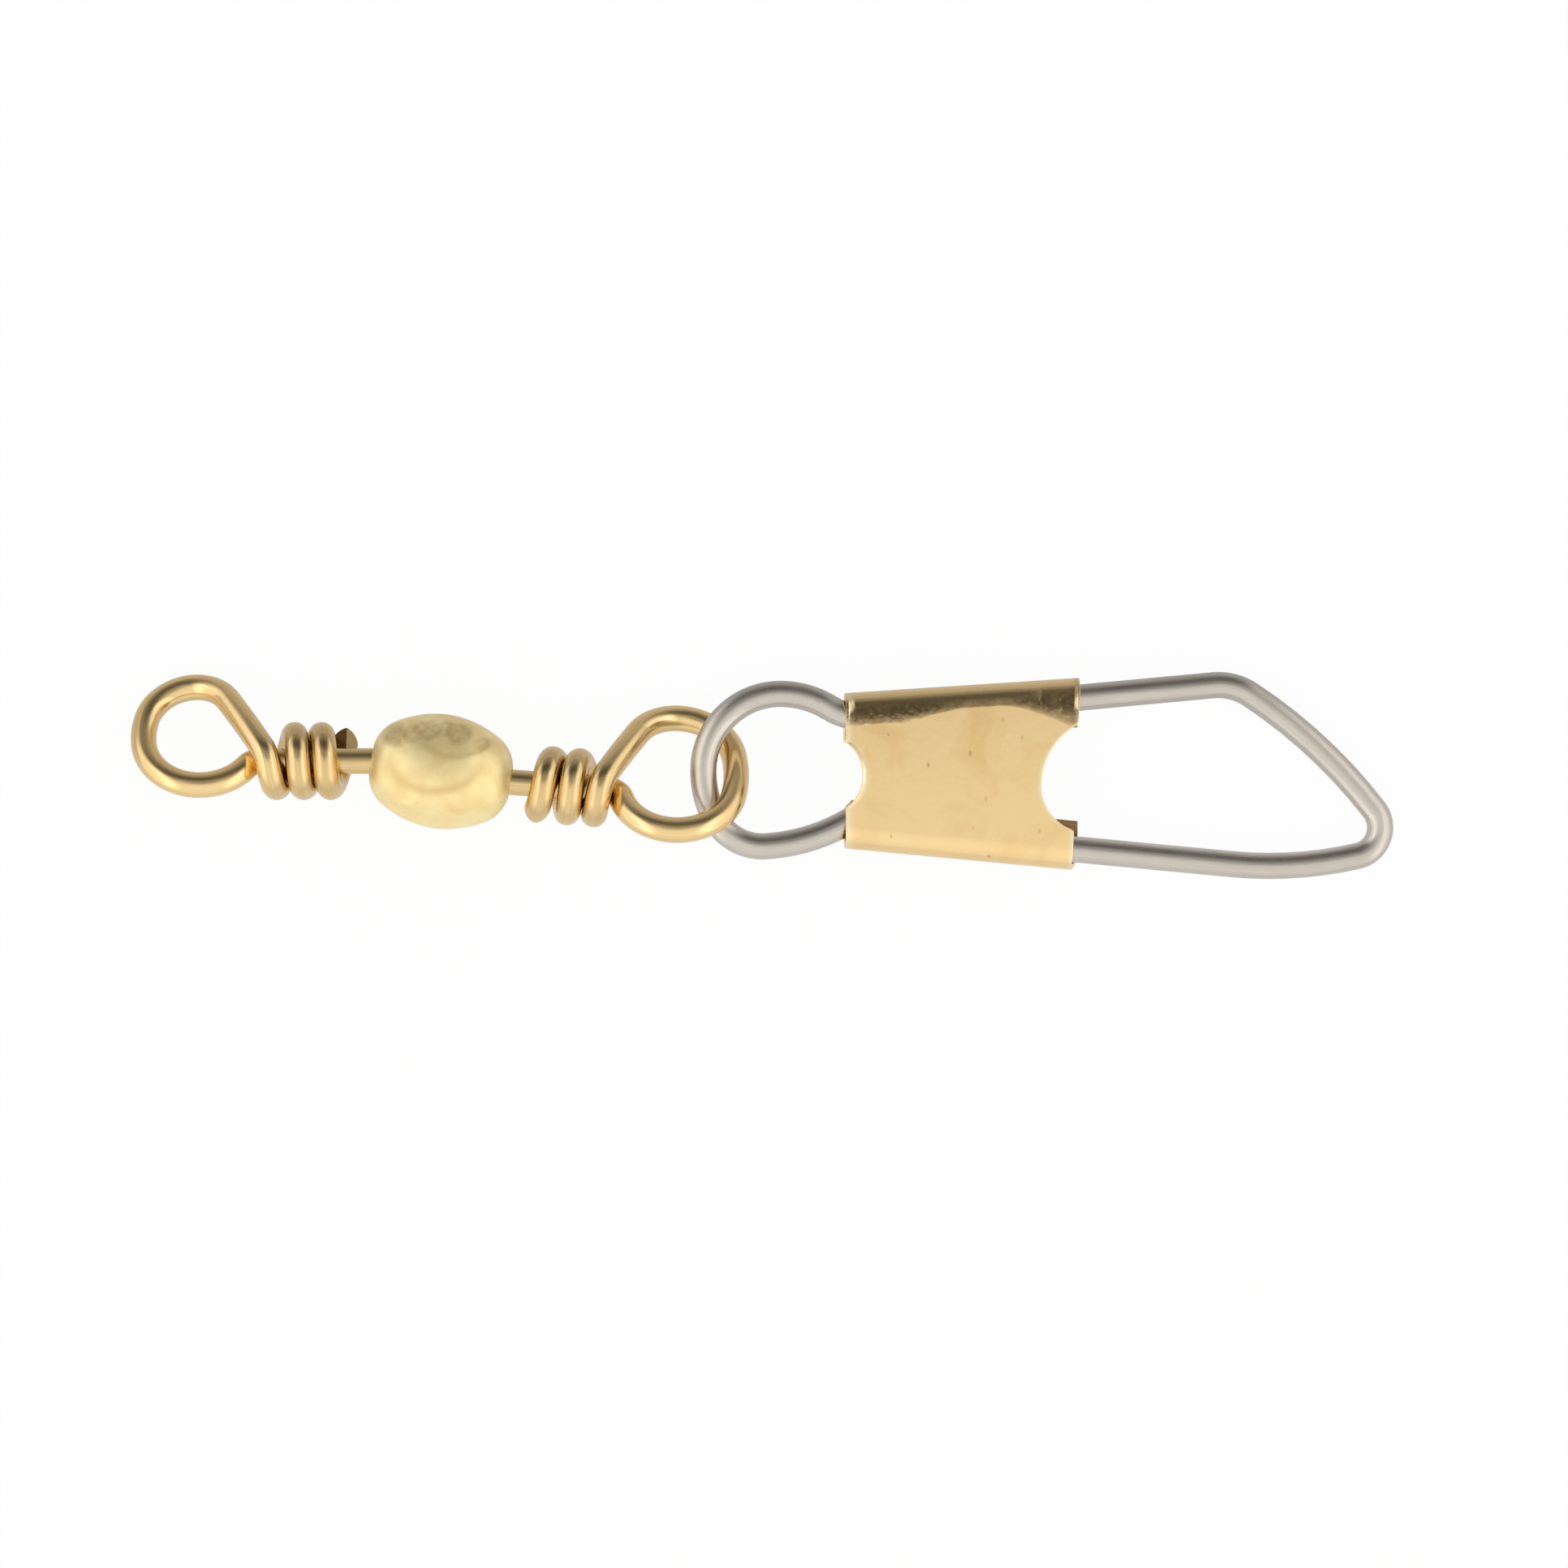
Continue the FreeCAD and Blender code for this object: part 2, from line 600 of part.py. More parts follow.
near_height = "((dim.top_near + dim.low_near) / 2 + dim.near_waist_rise)"
far_height = "((dim.top_far + dim.low_far) / 2 + dim.far_waist_rise)"
near_waist = new_sketch(clip_plate, "near_waist", "XY_Plane")
near_half = "sqrt(dim.near_waist_radius ^ 2 - (dim.near_waist_radius - dim.near_waist_depth) ^ 2)"
near_middle = "(dim.clip_start + dim.near_waist_depth)"
draw_outline(near_waist, [
    ("dim.clip_start", f"{near_height} - {near_half}", "dim.near_waist_radius"),
    (near_middle, near_height, "dim.near_waist_radius"),
    ("dim.clip_start", f"{near_height} + {near_half}", None),
])
before = clip_plate.Shape.Volume
add_cut(clip_plate, "near_scallop", near_waist, False)
doc.recompute()
cut_volumes.append(before - clip_plate.Shape.Volume)

far_waist = new_sketch(clip_plate, "far_waist", "XY_Plane")
far_above = "sqrt(dim.far_waist_radius ^ 2 - (dim.far_waist_radius - dim.far_waist_depth) ^ 2)"
far_below = "sqrt(dim.far_waist_low_radius ^ 2 - (dim.far_waist_low_radius - dim.far_waist_depth) ^ 2)"
far_x = "dim.clip_start + dim.clip_length"
draw_outline(far_waist, [
    (far_x, f"{far_height} + {far_above}", "dim.far_waist_radius"),
    (f"{far_x} - dim.far_waist_depth", far_height, "dim.far_waist_low_radius"),
    (far_x, f"{far_height} - {far_below}", None),
])
before = clip_plate.Shape.Volume
add_cut(clip_plate, "far_scallop", far_waist, True)
doc.recompute()
cut_volumes.append(before - clip_plate.Shape.Volume)

end_trim = new_sketch(clip_plate, "end_trim", "XY_Plane")
draw_outline(end_trim, [
    (far_x, f"dim.top_far + {fold_outside}", None),
    (f"{far_x} - dim.clip_end_skew", f"dim.low_far - {fold_outside}", None),
    (far_x, f"dim.low_far - {fold_outside}", None),
])
before = clip_plate.Shape.Volume
add_cut(clip_plate, "far_end", end_trim, True)
doc.recompute()
cut_volumes.append(before - clip_plate.Shape.Volume)


# Places: the barrel lies on the table, each shank runs through the middle of its hole, each eye has rolled
# down to the table, and the snap slopes from its link down to its tip.

barrel_height = size("barrel_dia") / 2
barrel_turn = Rotation(Z_AXIS, size("barrel_yaw"))
hole_middle = size("barrel_length") / 2 - size("barrel_wall") / 2
barrel.Placement = Placement(Vector(0, 0, barrel_height), barrel_turn)

line_hole = barrel.Placement.multVec(Vector(-hole_middle, 0, 0))
line_turn = Rotation(X_AXIS, -size("line_roll"))
line_eye.Placement = Placement(line_hole - X_AXIS * shank_reach("line"), line_turn)

snap_hole = barrel.Placement.multVec(Vector(hole_middle, 0, 0))
snap_shank = Rotation(Z_AXIS, size("snap_eye_yaw")).multiply(Rotation(Y_AXIS, -size("snap_rise")))
snap_turn = snap_shank.multiply(Rotation(X_AXIS, -size("snap_roll")))
shank_line = snap_shank.multVec(X_AXIS)
snap_eye.Placement = Placement(snap_hole + shank_line * shank_reach("snap"), snap_turn)

eye_end = max(snap_eye.Placement.multVec(point).x for point, along in eye_stations("snap"))
snap_slope = Rotation(Y_AXIS, size("snap_pitch"))
link_x = eye_end - brass_radius - steel_radius - size("link_play")
link_y = snap_eye.Placement.Base.y + size("link_offset")
snap_wire.Placement = Placement(Vector(link_x, link_y, 0), snap_slope)
lowest = snap_wire.Shape.optimalBoundingBox(True, False).ZMin
snap_place = Placement(Vector(link_x, link_y, -lowest), snap_slope)
snap_wire.Placement = snap_place
clip_plate.Placement = snap_place
gate_turn = Rotation(Z_AXIS, math.degrees(tip_heading))
gate_leg.Placement = snap_place.multiply(Placement(tip_end, gate_turn))
doc.recompute()

nodes = [line_eye, barrel, snap_eye, snap_wire, clip_plate, gate_leg]
whole = Part.makeCompound([node.Shape for node in nodes]).optimalBoundingBox(True, False)
to_origin = Placement(Vector(-whole.Center.x, -whole.Center.y, -whole.ZMin), Rotation())
for node in nodes:
    node.Placement = to_origin.multiply(node.Placement)
doc.recompute()

for made in doc.Objects:
    if "Invalid" in made.State or "Error" in made.State:
        raise RuntimeError(f"{made.Name} failed: {made.State}")
for node in nodes:
    if node.Shape.isNull() or not node.Shape.isValid() or len(node.Shape.Solids) != 1:
        raise RuntimeError(f"{node.Label} is not one valid solid")
if min(cut_volumes) <= 0:
    raise RuntimeError("a cut removed nothing")

os.makedirs("parts", exist_ok=True)
for node in nodes:
    node.Shape.exportStep(f"parts/{node.Label}.step")
    print(node.Label, "volume", round(node.Shape.Volume, 3), "faces", len(node.Shape.Faces))
print("overall", round(whole.XLength, 2), round(whole.YLength, 2), round(whole.ZLength, 2))
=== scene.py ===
# %% [markdown]
# # A brass snap swivel, finished in Blender
#
# The real object is a piece of fishing tackle about 60 mm long. A hollow brass barrel turns on two wire eyes,
# and the right eye carries a spring wire snap that is held shut by a folded brass clip. The CAD model already
# has every size and place. This lesson gives each piece the form and the metal that the camera sees: drawn
# wire, close wraps, a dented barrel and a rolled strip with stains and sheared edges, softened by a bevel and
# lightened with a painted highlight.

# %% Load the frame
import json
import math

import bmesh
import bpy
import numpy as np
from mathutils import Matrix, Vector


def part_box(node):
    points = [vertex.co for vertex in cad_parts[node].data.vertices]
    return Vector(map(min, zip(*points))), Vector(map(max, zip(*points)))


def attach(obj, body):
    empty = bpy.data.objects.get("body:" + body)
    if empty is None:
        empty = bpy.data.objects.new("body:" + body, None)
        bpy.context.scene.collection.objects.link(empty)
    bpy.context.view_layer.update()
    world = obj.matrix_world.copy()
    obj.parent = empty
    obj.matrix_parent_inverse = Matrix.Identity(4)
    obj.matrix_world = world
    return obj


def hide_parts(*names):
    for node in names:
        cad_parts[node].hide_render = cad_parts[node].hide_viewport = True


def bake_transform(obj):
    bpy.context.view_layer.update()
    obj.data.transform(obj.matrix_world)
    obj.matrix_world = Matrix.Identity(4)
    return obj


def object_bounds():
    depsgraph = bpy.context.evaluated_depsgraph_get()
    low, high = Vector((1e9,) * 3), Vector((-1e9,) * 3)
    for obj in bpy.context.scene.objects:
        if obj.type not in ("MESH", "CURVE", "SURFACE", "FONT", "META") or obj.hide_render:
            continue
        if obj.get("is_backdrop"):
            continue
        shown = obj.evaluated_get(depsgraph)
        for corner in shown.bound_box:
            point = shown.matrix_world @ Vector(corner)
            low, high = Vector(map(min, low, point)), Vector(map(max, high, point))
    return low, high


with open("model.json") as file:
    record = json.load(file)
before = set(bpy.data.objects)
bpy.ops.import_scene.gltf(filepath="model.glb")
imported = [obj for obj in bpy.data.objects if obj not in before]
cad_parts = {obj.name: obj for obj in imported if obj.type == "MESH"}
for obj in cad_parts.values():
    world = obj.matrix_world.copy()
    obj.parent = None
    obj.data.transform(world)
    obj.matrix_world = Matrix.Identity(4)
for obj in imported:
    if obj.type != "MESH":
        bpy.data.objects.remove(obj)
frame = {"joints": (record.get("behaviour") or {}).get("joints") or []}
cad_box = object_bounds()
joints = {joint["name"]: joint for joint in frame["joints"]}
MM = 0.001

# %% [markdown]
# ## Where things are
#
# The moving joints of the model say where the two necks of the barrel are, how the snap eye's shank points, and
# which plane the snap is bent in. Reading them from the frame keeps every new piece on the spot that the model
# gives it, and leaves only the wire's own bends to be repeated here.


# %% Anchor points and directions
def spot(joint):
    """A joint's place in metres."""
    return Vector(joints[joint]["pos_m"])


def pointing(joint):
    """A joint's axis as a unit vector."""
    return Vector(joints[joint]["axis"]).normalized()


line_neck = spot("line_eye_spin")
snap_neck = spot("barrel_spin")
barrel_along = (snap_neck - line_neck).normalized()
snap_shank = pointing("barrel_spin")
snap_up = pointing("gate_squeeze")
snap_along = Vector((snap_up.z, 0, -snap_up.x))
LINK_INSET = 0.4 * MM
loop_end = spot("snap_link") - Vector((LINK_INSET, 0, 0))
snap_frame = Matrix.Translation(loop_end) @ Matrix((snap_along, (0, 1, 0), snap_up)).transposed().to_4x4()
print("barrel neck to neck:", round((snap_neck - line_neck).length / MM, 2), "mm")

# %% [markdown]
# ## Stock sizes
#
# Both eyes are bent from one size of brass wire and the snap from spring wire of nearly the same size. The
# clip is cut from thin strip. Lengths are in millimetres, as on a bench drawing of so small a thing, and every
# mesh is made in metres.

# %% Stock sizes in millimetres
BRASS_WIRE = 1.22
STEEL_WIRE = 1.25
STRIP = 0.26
BARREL_WALL = 0.50
NECK_PLAY = 0.10
HEAD_DIA = 2.30
HEAD_LENGTH = 0.90
HEAD_GAP = 0.26

# %% [markdown]
# ## Bending a wire
#
# A wire part is a list of bends and straights, just as a wire bender would set it up. Each bend has a radius,
# a turn and a side. Walking along the list gives the centre line, and a point every few degrees keeps it
# smooth. The alternative is to place spline handles by eye, but then the loop would drift off its real bends.

# %% Walk along bends
BEND_STEP = math.radians(3)
STRAIGHT_STEP = 0.5


def walk(bends, heading):
    """Points (x, y) along a flat wire that starts at the origin, in millimetres."""
    x, y = 0.0, 0.0
    points = [(x, y)]
    for bend in bends:
        if len(bend) == 1:
            pieces = max(1, round(bend[0] / STRAIGHT_STEP))
            for piece in range(pieces):
                x += math.cos(heading) * bend[0] / pieces
                y += math.sin(heading) * bend[0] / pieces
                points.append((x, y))
            continue
        radius, turn, side = bend[0], math.radians(bend[1]), bend[2]
        pieces = max(2, math.ceil(turn / BEND_STEP))
        for piece in range(pieces):
            bent = heading + side * turn / pieces
            x += side * radius * (math.sin(bent) - math.sin(heading))
            y -= side * radius * (math.cos(bent) - math.cos(heading))
            heading = bent
            points.append((x, y))
    return points


# %% [markdown]
# ## The wire drawer
#
# One Geometry Nodes tree makes every wire in the part. It takes a row of points, runs a round section along
# them, and lets a girth stored on each point swell or pinch the wire, which is how the upset heads and the
# nipped ends are made. It also stores a coordinate that travels with the wire: length along it, and the place
# round its section. Drawing lines need such a coordinate, because on object coordinates they would cut
# straight through every bend.


# %% Small helpers for node trees
def feed(node, values):
    """Fill a node's inputs, by name or by number. Each value is a socket or a plain value."""
    for key, value in values.items():
        if isinstance(value, bpy.types.NodeSocket):
            node.id_data.links.new(value, node.inputs[key])
        else:
            node.inputs[key].default_value = value


def source(tree, kind, values=None, **settings):
    """A node of one kind in a tree, with its settings and its inputs."""
    node = tree.nodes.new(kind)
    for key, value in settings.items():
        setattr(node, key, value)
    feed(node, values or {})
    return node


def add(kind, values, output=0, **settings):
    """An output of a new node, in the tree that the sockets among its inputs belong to."""
    tree = next(value.id_data for value in values.values() if isinstance(value, bpy.types.NodeSocket))
    return source(tree, kind, values, **settings).outputs[output]


def maths(operation, first, *others):
    """Math nodes on numbers and sockets. More than two of them are taken from left to right."""
    if not others:
        return add("ShaderNodeMath", {0: first}, operation=operation)
    for other in others:
        first = add("ShaderNodeMath", {0: first, 1: other}, operation=operation)
    return first


def times(*values):
    """The product of numbers and sockets."""
    return maths("MULTIPLY", *values)


def plus(*values):
    """The sum of numbers and sockets."""
    return maths("ADD", *values)


def minus(first, second):
    """The difference of two numbers or sockets."""
    return maths("SUBTRACT", first, second)


def split(vector):
    """The x, y and z of a vector."""
    return list(source(vector.id_data, "ShaderNodeSeparateXYZ", {0: vector}).outputs)


def joined(x, y, z):
    """A vector from its x, y and z."""
    return add("ShaderNodeCombineXYZ", {0: x, 1: y, 2: z})


def new_tree(name, numbers):
    """A Geometry Nodes tree with geometry and material sockets and the named number inputs."""
    tree = bpy.data.node_groups.new(name, "GeometryNodeTree")
    for label, kind in [("Geometry", "Geometry"), *numbers, ("Material", "Material")]:
        tree.interface.new_socket(label, in_out="INPUT", socket_type="NodeSocket" + kind)
    tree.interface.new_socket("Geometry", in_out="OUTPUT", socket_type="NodeSocketGeometry")
    return tree, source(tree, "NodeGroupInput").outputs, source(tree, "NodeGroupOutput")


def store(geometry, name, value, kind="FLOAT"):
    """Keep a value on every point under a name."""
    values = {"Geometry": geometry, "Name": name, "Value": value}
    return add("GeometryNodeStoreNamedAttribute", values, data_type=kind, domain="POINT")


def named(tree, name):
    """Read a stored number back."""
    return source(tree, "GeometryNodeInputNamedAttribute", {"Name": name}, data_type="FLOAT").outputs[0]


def close_tree(given, shape, made):
    """Smooth the result, make it real geometry and give it its material."""
    smooth = add("GeometryNodeSetShadeSmooth", {0: shape})
    real = add("GeometryNodeRealizeInstances", {0: smooth})
    paint = add("GeometryNodeSetMaterial", {"Geometry": real, "Material": given["Material"]})
    feed(made, {0: paint})


# %% The wire drawer's tree
def build_wire_drawer():
    """A tree that sweeps a round section along a row of points."""
    tree, given, made = new_tree("wire_drawer", [("Wire radius", "Float"), ("Sides", "Int")])
    rail = add("GeometryNodeMeshToCurve", {0: given["Geometry"]})
    level = add("GeometryNodeSetCurveNormal", {0: rail}, mode="MINIMUM_TWIST")
    girth = add("GeometryNodeSetCurveRadius", {0: level, "Radius": named(tree, "girth")})
    measure = source(tree, "GeometryNodeSplineParameter")
    rail_out = store(girth, "along", measure.outputs["Length"])
    way = source(tree, "GeometryNodeInputTangent").outputs[0]
    rail_out = store(rail_out, "wire_way", way, "FLOAT_VECTOR")
    ring = add("GeometryNodeCurvePrimitiveCircle",
               {"Resolution": given["Sides"], "Radius": given["Wire radius"]})
    ring_out = store(ring, "around", times(measure.outputs["Factor"], math.tau))
    sweep = add("GeometryNodeCurveToMesh", {"Curve": rail_out, "Profile Curve": ring_out, "Fill Caps": True})
    along = times(named(tree, "along"), 1 / MM)
    around = named(tree, "around")
    place = joined(along, maths("COSINE", around), maths("SINE", around))
    shape = store(sweep, "wire_place", place, "FLOAT_VECTOR")
    close_tree(given, shape, made)
    return tree


wire_drawer = build_wire_drawer()
print("wire drawer:", len(wire_drawer.nodes), "nodes")


# %% Run a tree on points and keep the result as a plain mesh
def new_object(name, points, edges=(), faces=()):
    """An object in the scene, with its mesh from plain lists in metres."""
    mesh = bpy.data.meshes.new(name)
    mesh.from_pydata([tuple(point) for point in points], edges, faces)
    obj = bpy.data.objects.new(name, mesh)
    bpy.context.scene.collection.objects.link(obj)
    return obj


def line_of(name, points, **layers):
    """An object whose mesh is a row of points in metres, with numbers stored on them."""
    obj = new_object(name, points, [(place, place + 1) for place in range(len(points) - 1)])
    for label, values in layers.items():
        obj.data.attributes.new(label, "FLOAT", "POINT").data.foreach_set("value", values)
    return obj


def store_vectors(obj, label, values):
    """Keep a vector on every point of an object's mesh."""
    stored = obj.data.attributes.new(label, "FLOAT_VECTOR", "POINT")
    stored.data.foreach_set("vector", np.array(values).ravel())


def keep_shape(obj):
    """Turn the modified shape into the object's plain mesh, and drop the modifiers."""
    bpy.context.view_layer.update()
    graph = bpy.context.evaluated_depsgraph_get()
    shaped = obj.evaluated_get(graph)
    mesh = bpy.data.meshes.new_from_object(shaped, preserve_all_data_layers=True, depsgraph=graph)
    obj.modifiers.clear()
    obj.data = mesh


def run_tree(obj, tree, **inputs):
    """Run a tree on an object and keep the outcome as its mesh."""
    modifier = obj.modifiers.new("shape", "NODES")
    modifier.node_group = tree
    for item in tree.interface.items_tree:
        key = item.name.lower().replace(" ", "_")
        if item.in_out == "INPUT" and key in inputs:
            modifier[item.identifier] = inputs[key]
    keep_shape(obj)


# %% Finish a mesh and measure it
WELD = 1e-8
SHARP_CORNER = math.radians(50)


def settle_faces(obj):
    """Turn the faces outwards, keep real corners sharp and print what was made."""
    work = bmesh.new()
    work.from_mesh(obj.data)
    bmesh.ops.remove_doubles(work, verts=work.verts, dist=WELD)
    bmesh.ops.recalc_face_normals(work, faces=work.faces)
    if work.calc_volume(signed=True) < 0:
        bmesh.ops.reverse_faces(work, faces=work.faces)
    open_edges = sum(1 for edge in work.edges if len(edge.link_faces) != 2)
    volume = work.calc_volume() / MM**3
    work.to_mesh(obj.data)
    work.free()
    obj.data.set_sharp_from_angle(angle=SHARP_CORNER)
    triangles = sum(len(face.vertices) - 2 for face in obj.data.polygons)
    print(f"{obj.name}: {triangles} triangles, {volume:.1f} mm3, {open_edges} open edges")


def print_departure(piece, name):
    """Print how far a piece's box is from the box of the CAD node that it replaces."""
    low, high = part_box(name)
    corners = np.array([vertex.co for vertex in piece.data.vertices])
    most = np.abs([corners.min(0) - low, corners.max(0) - high]).max()
    print(name, "departs from its node by", round(most / MM, 3), "mm")


# %% [markdown]
# ## Metals that carry their making
#
# Brass and steel differ in colour, but what makes them read as metal is their surface. Drawn wire has fine
# lines along it, rolled strip has a soft skin with specks, and a tumbled barrel has shallow dents and a
# blotchy dull bloom. All finishes here are noise of the right size and direction that drives colour,
# roughness and bump together. A painted image could do this too, but it would not follow the wire.


# %% Helpers for finishes
def srgb(red, green, blue):
    """A colour as it looks on screen, 0 to 255, turned into Blender's linear values."""
    values = []
    for part in (red, green, blue):
        share = part / 255
        values.append(share / 12.92 if share <= 0.04045 else ((share + 0.055) / 1.055) ** 2.4)
    return (*values, 1)


def new_finish(name):
    """A material with a bare Principled shader."""
    finish = bpy.data.materials.new(name)
    finish.use_nodes = True
    return finish, finish.node_tree, finish.node_tree.nodes["Principled BSDF"]


def object_place(tree):
    """The coordinate that rides with the piece, in metres."""
    return source(tree, "ShaderNodeTexCoord").outputs["Object"]


def layer(tree, name):
    """A stored attribute's vector."""
    return source(tree, "ShaderNodeAttribute", attribute_name=name).outputs["Vector"]


def stretched(place, scale):
    """A coordinate scaled on each axis, so that a pattern runs along one of them."""
    return add("ShaderNodeMapping", {"Vector": place, "Scale": scale})


def noise(place, scale, detail=4, rough=0.55, warp=0.0):
    """Fractal noise on a coordinate."""
    values = {"Vector": place, "Scale": scale, "Detail": detail, "Roughness": rough, "Distortion": warp}
    return add("ShaderNodeTexNoise", values)


def between(value, low, high, to_low=0.0, to_high=1.0):
    """Stretch part of a value's range, clamped at both ends."""
    values = {"Value": value, "From Min": low, "From Max": high, "To Min": to_low, "To Max": to_high}
    return add("ShaderNodeMapRange", values)


def tint(share, first, second, blend="MIX"):
    """Mix two colours. Each colour is a tuple or a socket."""
    values = {0: share, 6: first, 7: second}
    return add("ShaderNodeMix", values, 2, data_type="RGBA", blend_type=blend)


def bumped(*heights):
    """Bumps on top of each other, each a height and its depth in metres."""
    normal = None
    for height, depth in heights:
        values = {"Strength": 1, "Distance": depth, "Height": height}
        if normal is not None:
            values["Normal"] = normal
        normal = add("ShaderNodeBump", values)
    return normal


# %% [markdown]
# ### Drawn wire
#
# Wire is pulled through a die, so its fine lines run along it for millimetres and are only hundredths of a
# millimetre wide. The brass is brighter and smoother than the steel, which is dull and warm grey. Both get
# soft clouds and small dark pits. The noise of the lines is read from the wire's own coordinate and stretched
# lengthwise, because a plain streak texture in space could not follow the bends. The brass in the wraps and
# shanks on both sides of the barrel is darkened a little: painted shade for the shade between the close turns.

# %% Drawn wire finish
PIT_TONE = (0.10, 0.07, 0.04, 1)
# the dark brown of the nipped faces: partly the dull cut brass, partly painted shade
SHEARED_AND_SHADED_TONE = srgb(104, 74, 36)
# painted shade: the grey that darkens the brass in the wraps and shanks next to the barrel
WRAP_SHADE_TONE = (0.30, 0.30, 0.31, 1)
WOUND_REACH = 7.7 * MM
WOUND_FADE = 1.0 * MM


def drawn_wire(name, colour, shade, dullness, line_depth, grain, wrap_shade=0.0):
    """A wire's metal: two tones, a roughness range and the depth of its drawing lines in metres."""
    finish, tree, metal = new_finish(name)
    wire = layer(tree, "wire_place")
    space = object_place(tree)
    lines = noise(stretched(wire, (0.10, 9, 9)), 1.6, 5, 0.62)
    fine = noise(stretched(wire, (0.35, 26, 26)), 1.0, 3, 0.6)
    cloud = noise(space, 420, 4, 0.6)
    pits = noise(stretched(wire, (1.6, 3.2, 3.2)), grain, 3, 0.7)
    tone = tint(between(lines, 0.34, 0.68), colour, shade)
    tone = tint(between(cloud, 0.42, 0.75, 0.0, 0.45), tone, shade)
    tone = tint(times(between(pits, 0.68, 0.76), 0.3), tone, PIT_TONE)
    # the nipped faces take the dark brown: the dull cut brass, with painted shade on one facet
    tone = tint(layer(tree, "sheared"), tone, SHEARED_AND_SHADED_TONE)
    # painted shade: darken the brass in the wraps and shanks near the barrel's middle
    from_barrel = maths("ABSOLUTE", minus(split(space)[0], (line_neck.x + snap_neck.x) / 2))
    wound = between(from_barrel, WOUND_REACH, WOUND_REACH + WOUND_FADE, wrap_shade, 0.0)
    tone = tint(wound, tone, WRAP_SHADE_TONE, "MULTIPLY")
    gloss = plus(between(cloud, 0.3, 0.7, *dullness), between(fine, 0.3, 0.7, -0.04, 0.05))
    relief = plus(lines, times(fine, 0.5))
    normal = bumped((relief, line_depth), (cloud, line_depth * 2))
    feed(metal, {"Base Color": tone, "Roughness": gloss, "Normal": normal, "Metallic": 1,
                 "Anisotropic": 0.6, "Anisotropic Rotation": 0.25, "Tangent": layer(tree, "wire_way")})
    return finish


# the brass's last number is the share of painted shade in its wraps and shanks
brass_wire = drawn_wire("drawn_brass", srgb(248, 220, 166), srgb(232, 199, 139), (0.15, 0.25), 1.3e-6, 3.0, 0.2)
spring_wire = drawn_wire("spring_steel", srgb(214, 207, 198), srgb(197, 190, 180), (0.24, 0.32), 1.6e-6, 5.0)

# %% [markdown]
# ## The spring wire snap
#
# One length of spring wire makes the whole snap. It starts at the fixed end curled behind the clip, goes round
# the small loop, through the clip, out to the knee, down the slant, round the tight tip and back into the
# lower fold. It is made as two pieces that meet inside the clip's upper fold, where nobody sees the joint: the
# first rides with the clip, and the second, which runs on to the gate, stays where it is drawn.

# %% The snap's bends, in millimetres and degrees, +1 to the left
SMALL_LOOP_UP = [(3.65, 90.0, -1), (4.50, 31.6, -1), (3.00, 36.9, 1)]
SMALL_LOOP_DOWN = [(4.84, 26.0, 1), (2.58, 67.5, 1), (9.00, 26.5, 1), (0.90,), (1.90, 75.0, 1)]
THROUGH_LEG = 16.45
BIG_LOOP = [(2.77, 38.6, -1), (24.5, 18.9, -1), (1.39, 115.1, -1), (19.1, 18.1, -1), (15.20,)]
JOIN = 3.0
END_NIP = 0.06
END_GIRTH = 0.88


def steel_girth(points):
    """The girth along a steel wire: 1 all along, slightly nipped at both cut ends."""
    girth = np.ones(len(points))
    girth[[0, -1]] = END_GIRTH
    return girth


def with_cut_end(points, unit):
    """Put a point close to the last one, so that only the very rim is nipped."""
    before = points[-1] + (points[-2] - points[-1]).normalized() * END_NIP * unit
    return [*points[:-1], before, points[-1]]


def with_cut_ends(points):
    """Do so at both ends of a wire in metres."""
    return with_cut_end(with_cut_end(points, MM)[::-1], MM)[::-1]


def snap_points(flat):
    """Points of the snap's plane, in metres in the frame."""
    return [snap_frame @ Vector((x * MM, y * MM, 0)) for x, y in flat]


up_side = walk(SMALL_LOOP_UP + [(JOIN,)], math.radians(90))
down_side = walk(SMALL_LOOP_DOWN, math.radians(-90))
small_loop_line = with_cut_ends(snap_points(down_side[::-1] + up_side[1:]))
whole_upper = walk(SMALL_LOOP_UP + [(JOIN,), (THROUGH_LEG - JOIN,)] + BIG_LOOP, math.radians(90))
big_loop_line = with_cut_ends(snap_points(whole_upper[len(up_side) - 1:]))
print("small loop points:", len(small_loop_line), "big loop points:", len(big_loop_line))

# %% Draw the two steel pieces
WIRE_SIDES = 40


def draw_wire(name, points, girth, diameter, finish):
    """One wire from its points in metres."""
    obj = line_of(name, points, girth=girth)
    run_tree(obj, wire_drawer, wire_radius=diameter / 2 * MM, sides=WIRE_SIDES, material=finish)
    settle_faces(obj)
    return obj


small_loop = draw_wire("small_loop", small_loop_line, steel_girth(small_loop_line), STEEL_WIRE, spring_wire)
big_loop = draw_wire("big_loop", big_loop_line, steel_girth(big_loop_line), STEEL_WIRE, spring_wire)
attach(small_loop, "snap")
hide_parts("snap_wire")
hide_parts("gate_leg")
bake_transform(big_loop)

# %% [markdown]
# ## The eye wires
#
# Each eye is one brass wire. A head is upset on it inside the barrel, the shank comes out through the neck,
# and the wire runs round a teardrop loop, crosses over the shank and winds back down it in close turns. The
# first turn tightens from the slant of the crossing to a helix one wire thick. The left eye is wound one way
# and the right eye the other, so the left one is drawn mirrored.

